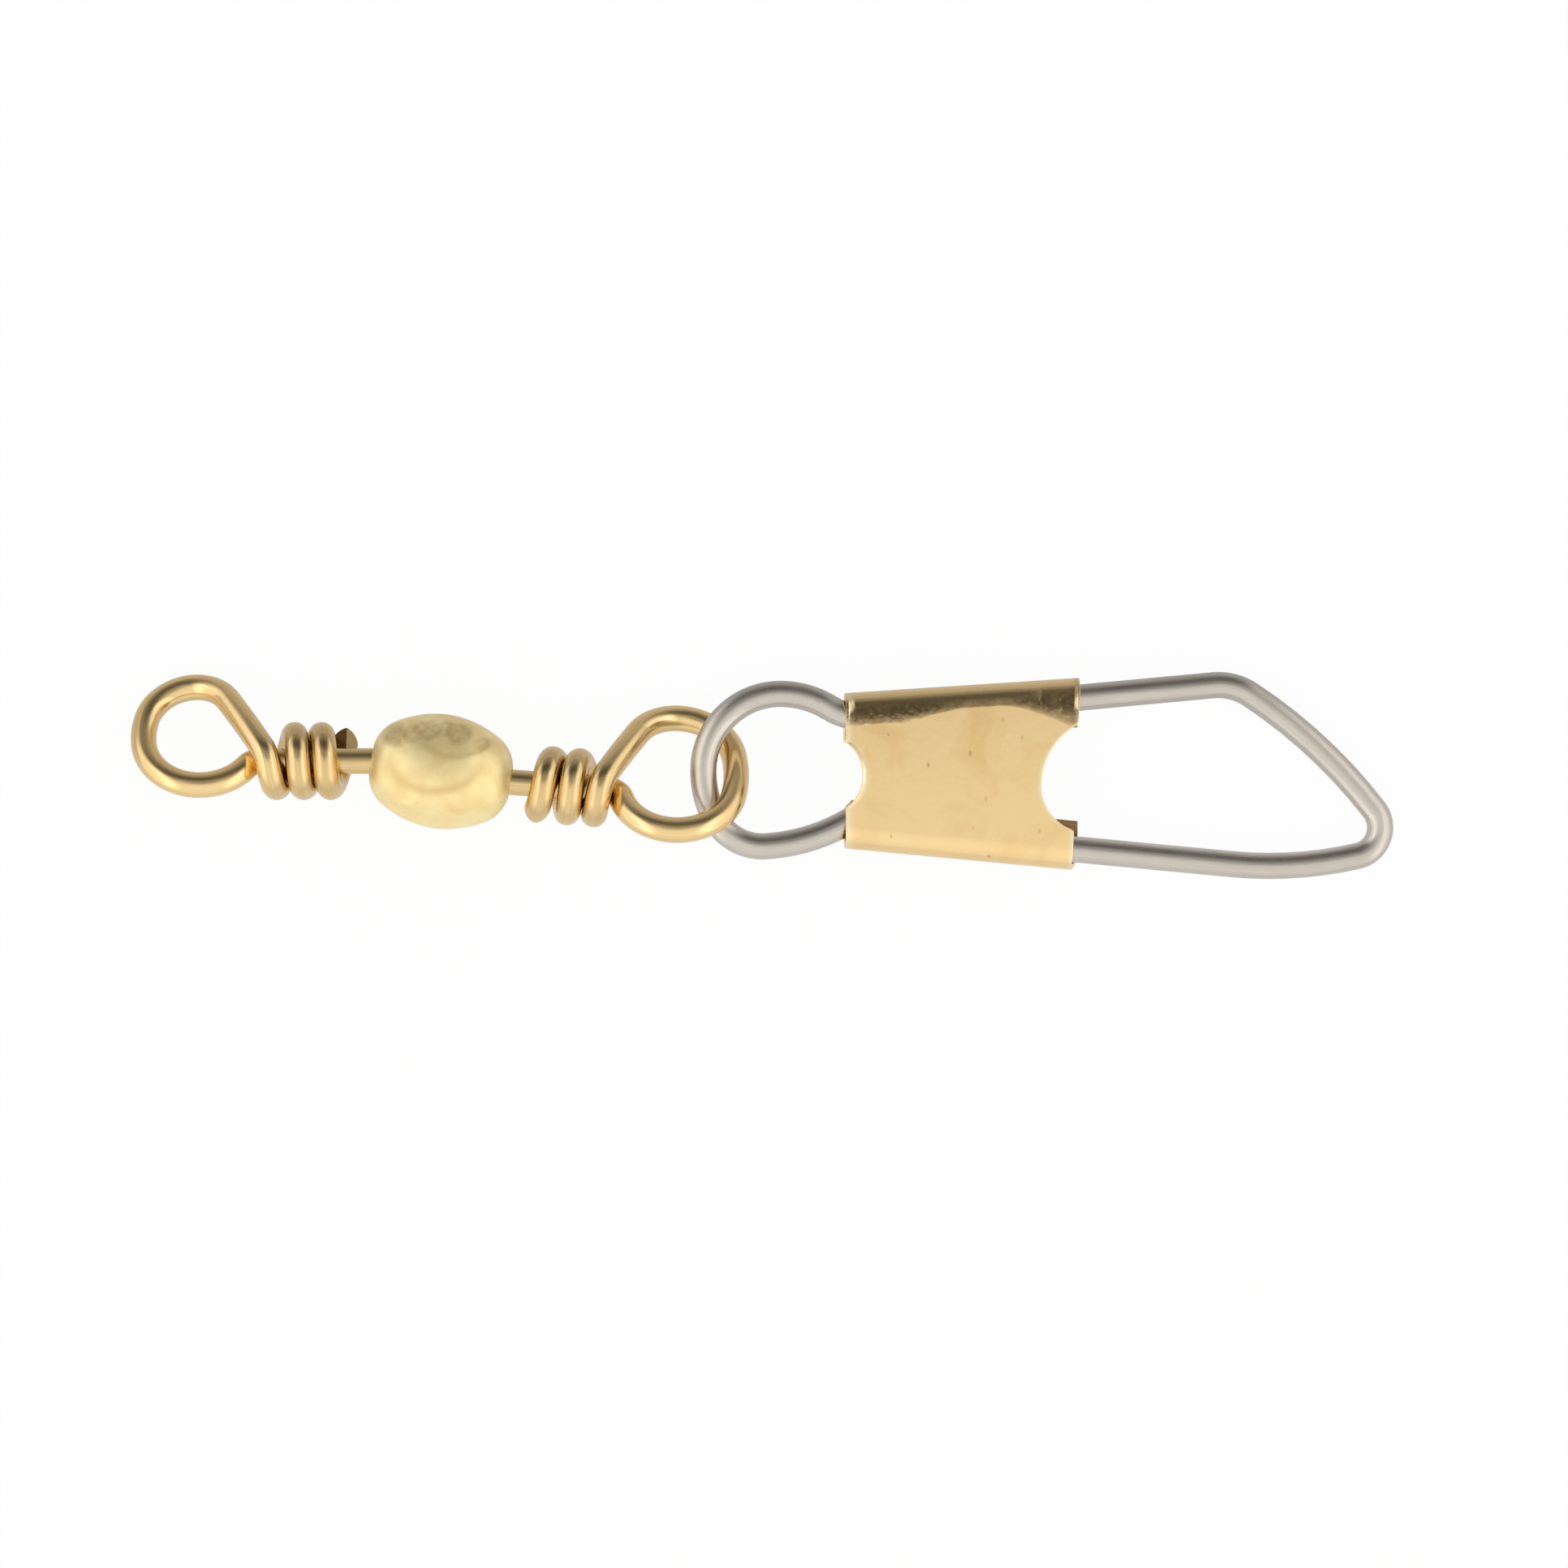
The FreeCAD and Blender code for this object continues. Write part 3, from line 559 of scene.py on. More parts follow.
# %% The eyes' sizes, in millimetres and degrees
WRAP_AIR = 0.05
WRAP_LIFT = 0.02
WRAP_SETTLE = 0.75
WRAP_SWAY = 0.10
WRAP_STEP = math.radians(5)
CROSSING_STEP = 0.15
SHANK_PIECES = 24
LIFT_STARTS = 0.45
FLARE_TURN = 2.6
LINE_EYE = dict(bends=[(0.85, 52.8, -1), (2.75, 135.8, 1), (4.10, 20.0, 1)], top=2.10, slant=240.6,
                turns=2.77, gap=0.61, roll=37.1, flare=0.0)
SNAP_EYE = dict(bends=[(0.85, 69.0, -1), (2.72, 153.0, 1), (6.6, 21.8, 1)], top=2.42, slant=248.0,
                turns=2.35, gap=0.92, roll=42.8, flare=0.24)
WRAP_RADIUS = BRASS_WIRE + WRAP_LIFT
LEAD = (BRASS_WIRE + WRAP_AIR) / math.tau


def wrap_advance(eye, turn):
    """How far down the shank a turn in radians has come."""
    first_lead = WRAP_RADIUS / abs(math.tan(math.radians(eye["slant"])))
    settled = 1 - math.exp(-turn / WRAP_SETTLE)
    lag = WRAP_SWAY * settled * math.sin(turn - math.radians(eye["roll"]))
    return LEAD * turn + (first_lead - LEAD) * WRAP_SETTLE * settled - lag


def shank_reach(eye):
    """From the crossing back to the middle of the barrel's end wall."""
    return wrap_advance(eye, eye["turns"] * math.tau) + BRASS_WIRE / 2 + eye["gap"] + BARREL_WALL / 2


# %% An eye's centre line, in its own frame in millimetres
def eye_loop(eye):
    """The teardrop loop, from the end of the shank to the crossing, which is lifted over the shank."""
    slant = math.radians(eye["slant"])
    turned = sum(math.radians(turn) * side for radius, turn, side in eye["bends"])
    flat = walk(eye["bends"] + [(eye["top"], math.degrees(slant - turned), 1)], 0.0)
    x, y = flat[-1]
    run = -y / math.sin(slant)
    pieces = max(2, round(run / CROSSING_STEP))
    flat += [(x + math.cos(slant) * run * piece / pieces, y + math.sin(slant) * run * piece / pieces)
             for piece in range(1, pieces + 1)]
    shift = flat[-1][0]
    steps = [math.dist(a, b) for a, b in zip(flat, flat[1:])]
    length = np.concatenate([[0], np.cumsum(steps)]) / sum(steps)
    share = np.clip((length - LIFT_STARTS) / (1 - LIFT_STARTS), 0, 1)
    lift = WRAP_RADIUS * share**2 * (3 - 2 * share)
    return [Vector((x - shift, y, z)) for (x, y), z in zip(flat, lift)]


def eye_shank(eye, start):
    """The straight from the head inside the barrel to the start of the loop."""
    stretch = start.x + shank_reach(eye) + BARREL_WALL / 2 + HEAD_GAP + HEAD_LENGTH
    return [Vector((start.x - stretch * (1 - place / SHANK_PIECES), 0, 0)) for place in range(SHANK_PIECES)]


def eye_wraps(eye):
    """The close turns round the shank, and the flare of the last one where the eye has it."""
    turns = eye["turns"] * math.tau
    pieces = math.ceil(turns / WRAP_STEP)
    wraps = []
    for piece in range(1, pieces + 1):
        turn = turns * piece / pieces
        opened = eye["flare"] * max(0, 1 - (turns - turn) / FLARE_TURN) ** 2
        wraps.append(Vector((-wrap_advance(eye, turn) - opened, -WRAP_RADIUS * math.sin(turn),
                             WRAP_RADIUS * math.cos(turn))))
    return wraps


# %% The upset head
HEAD_ROUND = 0.30
HEAD_RIM = [math.pi / 2 * bend / 6 for bend in range(7)]
HEAD_STEP = 0.005
HEAD_CLEAR = 0.05


def headed(shank):
    """Replace the shank's first stretch by a head with rounded rims, and say how thick the wire is there."""
    start = shank[0].x
    swell, rim = HEAD_DIA / BRASS_WIRE, 2 * HEAD_ROUND / BRASS_WIRE
    points = [start + HEAD_ROUND * (1 - math.cos(angle)) for angle in HEAD_RIM]
    points += [start + HEAD_LENGTH - HEAD_ROUND * (1 - math.sin(angle)) for angle in HEAD_RIM]
    girth = [swell - rim * (1 - math.sin(angle)) for angle in HEAD_RIM]
    girth += [swell - rim * (1 - math.cos(angle)) for angle in HEAD_RIM]
    points.append(start + HEAD_LENGTH + HEAD_STEP)
    rest = [point for point in shank if point.x > points[-1] + HEAD_CLEAR]
    return [Vector((x, 0, 0)) for x in points] + rest, girth + [1.0] * (len(rest) + 1)


# %% The nipped end
NIP_TILT = math.radians(32)
NIP_STRETCH = 1.2
NIP_BACK = 0.02
NIP_CORNER = math.radians(40)
PLANE_SLACK = 1e-9
# the share of dark brown on each nipped facet: 1.0 is painted shade on the facet in shadow, 0.4 the dull cut
# brass
SHEARED_SHADE_SHARES = {1: 0.4, -1: 1.0}


def nip_end(obj, points):
    """Cut the wire's last end to a blunt ridge with two planes, as nippers do, and close it again."""
    onward = (points[-1] - points[-3]).normalized()
    side = (Vector((1, 0, 0)) - onward * onward.x).normalized()
    length = sum((b - a).length for a, b in zip(points, points[1:])) / MM
    work = bmesh.new()
    work.from_mesh(obj.data)
    place = work.verts.layers.float_vector["wire_place"]
    sheared = work.faces.layers.float.new("sheared")
    for way, sheared_shade_share in SHEARED_SHADE_SHARES.items():
        near = [vert for vert in work.verts if vert[place].x > length - NIP_STRETCH]
        inside = set(near)
        faces = [face for face in work.faces if inside.issuperset(face.verts)]
        # a dict keeps the edges in order, so that each run cuts the same mesh
        edges = dict.fromkeys(edge for face in faces for edge in face.edges)
        across = onward * math.cos(NIP_TILT) + side * math.sin(NIP_TILT) * way
        bmesh.ops.bisect_plane(work, geom=[*near, *edges, *faces], dist=PLANE_SLACK, plane_no=across,
                               plane_co=points[-1] - onward * NIP_BACK * MM, clear_outer=True)
        rim = [edge for edge in work.edges if edge.is_boundary]
        for face in bmesh.ops.contextual_create(work, geom=rim)["faces"]:
            face[sheared] = sheared_shade_share
    work.to_mesh(obj.data)
    work.free()
    obj.data.set_sharp_from_angle(angle=NIP_CORNER)
    print(obj.name, "nipped, faces:", len(obj.data.polygons))


# %% Draw both eyes in place
EYE_END_GIRTH = 0.9


def draw_eye(name, eye, place, mirror):
    """One eye wire, from its own frame into the object's frame."""
    loop = eye_loop(eye)
    shank, girth = headed(eye_shank(eye, loop[0]))
    line = with_cut_end(shank + loop + eye_wraps(eye), 1)
    girth += [1.0] * (len(line) - len(girth))
    girth[-1] = EYE_END_GIRTH
    points = [place @ Vector((point.x * mirror, point.y, point.z)) for point in line]
    obj = draw_wire(name, points, np.array(girth), BRASS_WIRE, brass_wire)
    nip_end(obj, points)
    return obj


def eye_place(neck, shank, eye, mirror):
    """Where an eye's crossing is, and how it has rolled down to the table."""
    yaw = math.atan2(shank.y, shank.x)
    rise = math.asin(shank.z)
    turn = Matrix.Rotation(yaw, 4, "Z") @ Matrix.Rotation(-rise, 4, "Y")
    turn = turn @ Matrix.Rotation(-math.radians(eye["roll"]), 4, "X")
    reach = shank * shank_reach(eye) * MM
    return Matrix.Translation(neck + reach * mirror) @ turn @ Matrix.Scale(MM, 4)


line_eye = draw_eye("line_eye_wire", LINE_EYE, eye_place(line_neck, Vector((1, 0, 0)), LINE_EYE, -1), -1)
snap_eye = draw_eye("snap_eye_wire", SNAP_EYE, eye_place(snap_neck, snap_shank, SNAP_EYE, 1), 1)
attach(line_eye, "line_eye")
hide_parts("line_eye")
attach(snap_eye, "snap_eye")
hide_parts("snap_eye")
print_departure(line_eye, "line_eye")
print_departure(snap_eye, "snap_eye")

# %% [markdown]
# ## The barrel
#
# The barrel is a hollow turned shell with a neck at each end. Tumbling has left it with shallow dents, and
# they are what breaks the reflections on it into soft patches. A lathe tree in Geometry Nodes turns the
# shell's section about its axis and then pushes the outside in by a little slow noise. A bump in the material
# alone would do for small marks, but dents of this size are real form.

# %% The barrel's section
BARREL_LENGTH = 6.64
BARREL_DIA = 5.38
BARREL_END_DIA = 2.62
BARREL_ROUND = 1.70
NECK_FLARE = 0.08
LIP_IN, LIP_OUT = 0.03, 0.02


def arc(centre, radius, start, stop, pieces):
    """Points on an arc, both ends included, angles in radians."""
    angles = np.linspace(start, stop, pieces + 1)
    return [(centre[0] + radius * math.cos(angle), centre[1] + radius * math.sin(angle)) for angle in angles]


def mirrored(points):
    """The same points on the barrel's other half, in the order that carries the line on."""
    return [(-x, y) for x, y in reversed(points)]


def barrel_section():
    """The closed section of the shell's wall as (along, out) in millimetres."""
    half = BARREL_LENGTH / 2
    sag = (BARREL_DIA - BARREL_END_DIA) / 2
    side = (half**2 + sag**2) / (2 * sag)
    sunk = BARREL_DIA / 2 - side
    neck = BRASS_WIRE / 2 + NECK_PLAY
    flared = neck + NECK_FLARE
    # the rounded end touches the flat end and the bulge: its centre is BARREL_ROUND inside both
    end_x = half - BARREL_ROUND
    end_y = sunk + math.sqrt((side - BARREL_ROUND) ** 2 - end_x**2)
    meet = math.atan2(end_y - sunk, end_x)
    end = [(half, end_y * place / 3 + flared * (1 - place / 3)) for place in range(3)]
    quarter = arc((end_x, end_y), BARREL_ROUND, 0, meet, 18)
    crown = arc((0, sunk), side, meet, math.pi - meet, 40)
    outside = end + quarter + crown[1:-1] + mirrored(quarter) + mirrored(end)
    inner_half = half - BARREL_WALL
    inner_side = side - BARREL_WALL
    reach = math.asin(inner_half / inner_side)
    cavity = arc((0, sunk), inner_side, math.pi / 2 + reach, math.pi / 2 - reach, 24)
    lip = [(-half + LIP_IN, neck + LIP_OUT), (-half + NECK_FLARE, neck), (-inner_half, neck)]
    return outside + lip + cavity + mirrored(lip)


section = barrel_section()
print("barrel section points:", len(section), "largest radius:", round(max(y for x, y in section), 3))


# %% The lathe's tree
SEAM_WELD = 2e-7


def build_lathe():
    """A tree that turns a section about the x axis, then dents the outside with slow noise."""
    numbers = [("Around", "Int"), ("Along", "Int"), ("Dent depth", "Float"), ("Dent size", "Float"),
               ("Inner radius", "Float")]
    tree, given, made = new_tree("lathe", numbers)
    rail = add("GeometryNodeMeshToCurve", {0: given["Geometry"]})
    grid = add("GeometryNodeMeshGrid", {"Size X": 1, "Size Y": 1, "Vertices X": given["Around"],
                                        "Vertices Y": given["Along"]})
    here = split(source(tree, "GeometryNodeInputPosition").outputs[0])
    angle = times(plus(here[0], 0.5), math.tau)
    curve_point = {"Curves": rail, "Factor": plus(here[1], 0.5)}
    centre = add("GeometryNodeSampleCurve", curve_point, "Position", mode="FACTOR", use_all_curves=True)
    along, out = split(centre)[:2]
    place = joined(along, times(out, maths("COSINE", angle)), times(out, maths("SINE", angle)))
    turned = add("GeometryNodeSetPosition", {"Geometry": grid, "Position": place})
    weld = add("GeometryNodeMergeByDistance", {0: turned, "Distance": SEAM_WELD})
    # the noise only pushes the outside of the shell
    where = source(tree, "GeometryNodeInputPosition").outputs[0]
    slow = noise(where, given["Dent size"], 1.5, 0.5)
    y, z = split(where)[1:]
    reach = maths("SQRT", plus(times(y, y), times(z, z)))
    outer = maths("GREATER_THAN", reach, given["Inner radius"])
    push = times(slow, given["Dent depth"], outer)
    normal = source(tree, "GeometryNodeInputNormal").outputs[0]
    shift = add("ShaderNodeVectorMath", {0: normal, "Scale": push}, operation="SCALE")
    pushed = add("GeometryNodeSetPosition", {"Geometry": weld, "Offset": shift})
    close_tree(given, pushed, made)
    return tree


lathe = build_lathe()

# %% [markdown]
# ### Tumbled brass
#
# The barrel's skin is smooth but not even. Tumbling leaves a bloom in patches, and where the patches meet the
# reflection turns ragged. Two sizes of soft noise set roughness and colour, and a faint bump gives the small
# pimples that show in the dark part of the reflection. The small dents are tinted olive as a painted dark
# reflection, and the near rims of the large ones get a warmer painted shade, where the dents cell below has
# stored them.

# %% Tumbled brass finish
def tumbled_brass():
    """The barrel's metal."""
    finish, tree, metal = new_finish("tumbled_brass")
    space = object_place(tree)
    bloom = noise(space, 650, 4, 0.6, 0.4)
    small = noise(space, 2600, 3, 0.6)
    dents = noise(space, 820, 1, 0.4)
    hollow_shade, rim = split(layer(tree, "dent_shade"))[:2]
    mottled = plus(times(small, 0.6), times(bloom, 0.4))
    patchy = between(mottled, 0.38, 0.6, 0.3, 0.75)
    tone = tint(between(bloom, 0.38, 0.66), srgb(254, 235, 176), srgb(244, 218, 155))
    # painted dark reflection: the small dents are tinted olive, in ragged patches
    tone = tint(times(hollow_shade, patchy), tone, srgb(176, 152, 100))
    # painted shade: a warmer tint along the near rims of the large dents
    tone = tint(times(rim, 0.6), tone, srgb(206, 173, 108))
    gloss = between(bloom, 0.3, 0.7, 0.33, 0.43)
    normal = bumped((dents, 6e-5), (bloom, 1.4e-5), (small, 1.6e-6))
    feed(metal, {"Base Color": tone, "Roughness": gloss, "Normal": normal, "Metallic": 0.5})
    return finish


barrel_brass = tumbled_brass()

# %% [markdown]
# ### Dents of the tumbled barrel
#
# The lathe's noise makes the skin uneven everywhere, but a few dents are large enough to be seen one by one.
# They are pushed into the finished shell from a short list, because a dent has to sit where it was made. Each
# has a ragged outline, so that it doesn't look stamped.

# %% Dents of the tumbled barrel
# middle x and y, half length, half width and depth in millimetres, then the painted dark reflection in it and
# the painted shade on its near rim
DENTS = [(-15.39, 0.60, 2.23, 1.46, 0.085, 0.0, 0.9), (-14.42, 1.67, 1.60, 0.85, 0.030, 0.0, 0.7),
         (-17.35, 1.90, 0.58, 0.60, 0.050, 0.8, 0.3), (-15.77, 2.15, 0.66, 0.46, 0.050, 0.8, 0.3),
         (-14.95, 2.20, 0.55, 0.36, 0.030, 0.6, 0.3), (-14.30, 2.00, 0.62, 0.50, 0.050, 0.8, 0.3),
         (-13.23, 1.48, 0.40, 0.32, 0.030, 0.7, 0.3), (-16.50, 1.95, 0.50, 0.40, 0.025, 0.4, 0.3),
         (-16.90, -0.90, 0.90, 0.60, 0.040, 0.0, 0.15), (-14.10, -1.20, 0.80, 0.55, 0.035, 0.0, 0.10)]


def ragged_reach(points, x, y, long, wide):
    """How far points are from a dent's middle, 1 at its outline, which wavers a little."""
    aside, up = points[:, 0] / MM - x, points[:, 1] / MM - y
    turn = np.arctan2(up, aside)
    ragged = 0.08 * np.sin(3 * turn + 5 * x) + 0.05 * np.sin(7 * turn + 3 * x) + 0.03 * np.sin(13 * turn)
    return np.hypot(aside / long, up / wide) * (1 + ragged * min(1, 0.3 / long**1.5 + 0.05))


def dented(obj):
    """Push the barrel's upper skin in at the dents and store the painted shade in them and on their rims."""
    points = np.empty(len(obj.data.vertices) * 3)
    obj.data.vertices.foreach_get("co", points)
    points = points.reshape(-1, 3)
    along = np.array(barrel_along)
    off = points - np.array(barrel_middle)
    off -= np.outer(off @ along, along)
    upper = off[:, 2] > 0
    dent_shade = np.zeros((len(points), 3))
    push = np.zeros(len(points))
    for x, y, long, wide, depth, hollow_shade, rim in DENTS:
        away = ragged_reach(points, x, y, long, wide)
        near_side = np.clip(0.45 - (points[:, 1] / MM - y) / wide, 0, 1)
        push += np.where(upper, np.clip(1 - away**2, 0, 1) ** 2 * depth * MM, 0)
        # painted dark reflection inside each dent, and painted shade along its near rim
        dent_shade[:, 0] += np.where(upper, np.clip((1.15 - away) / 0.4, 0, 1) * hollow_shade, 0)
        dent_shade[:, 1] += np.where(upper, near_side * np.exp(-((away - 0.92) / 0.16) ** 2) * rim, 0)
    points -= off / np.linalg.norm(off, axis=1)[:, None] * push[:, None]
    obj.data.vertices.foreach_set("co", points.ravel())
    store_vectors(obj, "dent_shade", np.clip(dent_shade, 0, 1))
    print("dents", len(DENTS), "deepest", round(push.max() / MM, 3), "mm")


# %% Turn the barrel
DENT_DEPTH = -0.04 * MM
DENT_SIZE = 620.0
HOLLOW = 0.8 * MM
AROUND, ALONG = 161, 240
barrel_middle = (line_neck + snap_neck) / 2
across = Vector((0, 0, 1)).cross(barrel_along).normalized()
stand = barrel_along.cross(across)
barrel_frame = Matrix.Translation(barrel_middle) @ Matrix((barrel_along, across, stand)).transposed().to_4x4()
ring = [Vector((x * MM, y * MM, 0)) for x, y in section]
barrel = line_of("barrel_shell", ring + [ring[0]])
run_tree(barrel, lathe, around=AROUND, along=ALONG, dent_depth=DENT_DEPTH, dent_size=DENT_SIZE,
         inner_radius=HOLLOW, material=barrel_brass)
barrel.data.transform(barrel_frame)
dented(barrel)
settle_faces(barrel)
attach(barrel, "barrel")
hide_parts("barrel")

# %% [markdown]
# ## The clip
#
# The clip is a strip of thin brass folded twice: closed round the wire that passes through, and open at the
# bottom where the gate leg hooks in. Its face tapers, each end is cut out in a round scallop, and narrow flaps
# return behind. It is made as a grid that follows the folded line from flap to flap. The grid's rows are
# stretched to end exactly on the scallops, so the edges are clean, and Solidify and Bevel give the sheet its
# thickness and its softened edges. Cutting the scallops out with a boolean would leave ragged faces.

# %% The clip's sizes, in millimetres in the snap's plane
CLIP_START = 6.70
CLIP_LENGTH = 11.15
CLIP_END = CLIP_START + CLIP_LENGTH
FOLD_PLAY = 0.11
FOLD_OUT = STEEL_WIRE / 2 + FOLD_PLAY + STRIP
FLAP = 2.35 - FOLD_OUT
END_SKEW = 0.42
NEAR_WAIST = dict(above=1.90, below=1.90, depth=0.80, rise=-0.20)
FAR_WAIST = dict(above=3.30, below=2.20, depth=1.87, rise=-0.55)
TOP_SLOPE = math.tan(math.radians(3.75))
TOP_LIFT = 0.10


def line_at(first, second, x):
    """The height at x of the straight line through two points."""
    return first[1] + (second[1] - first[1]) * (x - first[0]) / (second[0] - first[0])


leg_a, leg_b = whole_upper[len(up_side) - 1], whole_upper[len(up_side) + 3]
gate_a, gate_b = whole_upper[-12], whole_upper[-2]
clip_middle = (CLIP_START + CLIP_END) / 2
top_middle = line_at(leg_a, leg_b, clip_middle) + TOP_LIFT
TOP = (top_middle - TOP_SLOPE * CLIP_LENGTH / 2, top_middle + TOP_SLOPE * CLIP_LENGTH / 2)
LOW = (line_at(gate_a, gate_b, CLIP_START), line_at(gate_a, gate_b, CLIP_END))
print("clip heights, near and far:", [round(value, 3) for value in TOP + LOW])


# %% The folded line and the cut ends
FLAP_ROWS = 8
FOLD_ROWS = 24
FACE_ROWS = 76
END_ROUNDS = 6


def folded_line(top, low):
    """The strip's outside from the upper flap's edge to the lower flap's edge, as (y, z) and a front mark."""
    rows = [(top - FLAP * (1 - place / FLAP_ROWS), -FOLD_OUT, 0) for place in range(FLAP_ROWS)]
    rows += [(*point, 0) for point in arc((top, 0), FOLD_OUT, -math.pi / 2, math.pi / 2, FOLD_ROWS)]
    rows += [(top + (low - top) * place / FACE_ROWS, FOLD_OUT, 1) for place in range(1, FACE_ROWS)]
    rows += [(*point, 0) for point in arc((low, 0), FOLD_OUT, math.pi / 2, math.pi * 1.5, FOLD_ROWS)]
    rows += [(low + FLAP * place / FLAP_ROWS, -FOLD_OUT, 0) for place in range(1, FLAP_ROWS + 1)]
    return rows


def scalloped(waist, edge, side, height, y):
    """Where a round scallop cuts a row at height y. Side is +1 at the near end and -1 at the far end."""
    radius = waist["above"] if y > height else waist["below"]
    off = abs(y - height)
    if off >= radius:
        return edge
    cut = edge + side * (waist["depth"] - radius + math.sqrt(radius**2 - off**2))
    return max(edge, cut) if side > 0 else min(edge, cut)


def row_ends(near, far):
    """The x of both ends of one row of the grid."""
    y_near, y_far = near[0], far[0]
    near_height = (TOP[0] + LOW[0]) / 2 + NEAR_WAIST["rise"]
    far_height = (TOP[1] + LOW[1]) / 2 + FAR_WAIST["rise"]
    start, stop = CLIP_START, CLIP_END
    # the height at a cut end depends on where the end is, so a few rounds settle both
    for _ in range(END_ROUNDS):
        y = y_near + (y_far - y_near) * (start - CLIP_START) / CLIP_LENGTH
        start = scalloped(NEAR_WAIST, CLIP_START, 1, near_height, y)
        y = y_near + (y_far - y_near) * (stop - CLIP_START) / CLIP_LENGTH
        skew = END_SKEW * (TOP[1] + FOLD_OUT - y) / (TOP[1] - LOW[1] + 2 * FOLD_OUT)
        stop = CLIP_END - skew * min(1, 1 + near[1] / FOLD_OUT)
        if near[2]:
            stop = min(stop, scalloped(FAR_WAIST, CLIP_END, -1, far_height, y))
    return start, stop


# %% The clip's grid
CLIP_COLUMNS = 110


def clip_grid():
    """The strip's points and faces, and for each point its place on the sheet and its way to both cut ends."""
    near_rows, far_rows = folded_line(TOP[0], LOW[0]), folded_line(TOP[1], LOW[1])
    points, places, edges = [], [], []
    for near, far in zip(near_rows, far_rows):
        start, stop = row_ends(near, far)
        for column in range(CLIP_COLUMNS + 1):
            x = start + (stop - start) * column / CLIP_COLUMNS
            share = (x - CLIP_START) / CLIP_LENGTH
            y = near[0] + (far[0] - near[0]) * share
            below = TOP[0] + (TOP[1] - TOP[0]) * share - y
            if below < 0:
                below = -FOLD_OUT * math.atan2(-below, near[1])
            points.append((x, y, near[1]))
            places.append((x - CLIP_START, below, near[1]))
            edges.append((x - start, stop - x, 0))
    width = CLIP_COLUMNS + 1
    corners = [row * width + column for row in range(len(near_rows) - 1) for column in range(CLIP_COLUMNS)]
    faces = [(corner, corner + width, corner + width + 1, corner + 1) for corner in corners]
    return points, faces, {"strip_place": places, "edge_place": edges}


grid_points, grid_faces, grid_layers = clip_grid()
clip = new_object("clip_strip", [snap_frame @ (Vector(point) * MM) for point in grid_points], (), grid_faces)
for label, values in grid_layers.items():
    store_vectors(clip, label, values)
print("clip grid:", len(grid_points), "points")

# %% [markdown]
# ### Rolled strip
#
# Strip brass comes off the rolls nearly mirror bright. Handling leaves faint brown stains and a few short
# dark specks, and a slight ripple in the sheet makes the edges of reflections crawl. The specks are the middles
# of stretched Voronoi cells, kept only where a second noise is high, so that only a few are left.
#
# The press that folds the strip also leaves a shoulder beside the upper fold, wide at both ends and narrow
# between them. It is a lean of a few tenths of a millimetre, so it is drawn as a height in the finish, worked
# out from two distances kept on the sheet: along the fold, and down from the fold's tangent line.


# %% The fold's shoulder
SHOULDER_LEAN = 0.455
SHOULDER_OVER = 0.455
SHOULDER_LEAST = 0.12
RUN_OUT = 2.6


def fold_shoulder(along, below):
    """A height in millimetres that leans towards the upper fold, and how bent the brass is there, 0 to 1."""
    near = between(along, 2.6, 5.4, 0.60, SHOULDER_LEAST)
    reach = maths("POWER", between(along, 7.4, 10.6), 1.5)
    width = maths("MAXIMUM", near, plus(times(reach, 1.20), SHOULDER_LEAST))
    firm = maths("MAXIMUM", between(along, 3.6, 5.6, 1.0, 0.30), between(along, 7.6, 9.3, 0.30, 1.0))
    gone = maths("MINIMUM", maths("DIVIDE", maths("MAXIMUM", below, 0.0), width), 1.0)
    run_out = maths("DIVIDE", minus(1.0, maths("POWER", gone, RUN_OUT)), RUN_OUT)
    flat_side = times(minus(minus(1.0, gone), run_out), width)
    over = between(below, 0.0, -SHOULDER_OVER)
    over = minus(over, times(over, over, 0.5))
    both = plus(flat_side, times(over, SHOULDER_OVER))
    bent = times(between(gone, 0.9, 0.3), between(below, -0.46, -0.16))
    return times(both, firm, -SHOULDER_LEAN), bent


# %% Specks on the strip
def specks(space):
    """A few short dark specks, 0 to 1."""
    cells = add("ShaderNodeTexVoronoi", {"Scale": 1, "Vector": stretched(space, (1500, 800, 900))})
    picked = maths("GREATER_THAN", noise(space, 900, 0), 0.54)
    return times(between(cells, 0.04, 0.15, 1.0, 0.0), picked)


# %% Rolled strip finish
STAIN_TONES = srgb(246, 215, 159), srgb(232, 190, 124)
SPECK_TONE = srgb(150, 116, 66)
# painted dark reflection in the band beside the upper fold
FOLD_BAND_SHADE_TONE = srgb(128, 108, 66)
# painted highlight along the cut ends
EDGE_HIGHLIGHT_TONE = srgb(255, 240, 204)
# painted shade on the back flaps, darker towards the lower fold
BACK_SHADE_TONES = srgb(158, 122, 72), srgb(78, 52, 24)
FACE_MIDDLE = 1.8
FACE_BOW = 0.004
LIP_WIDTH = 0.28


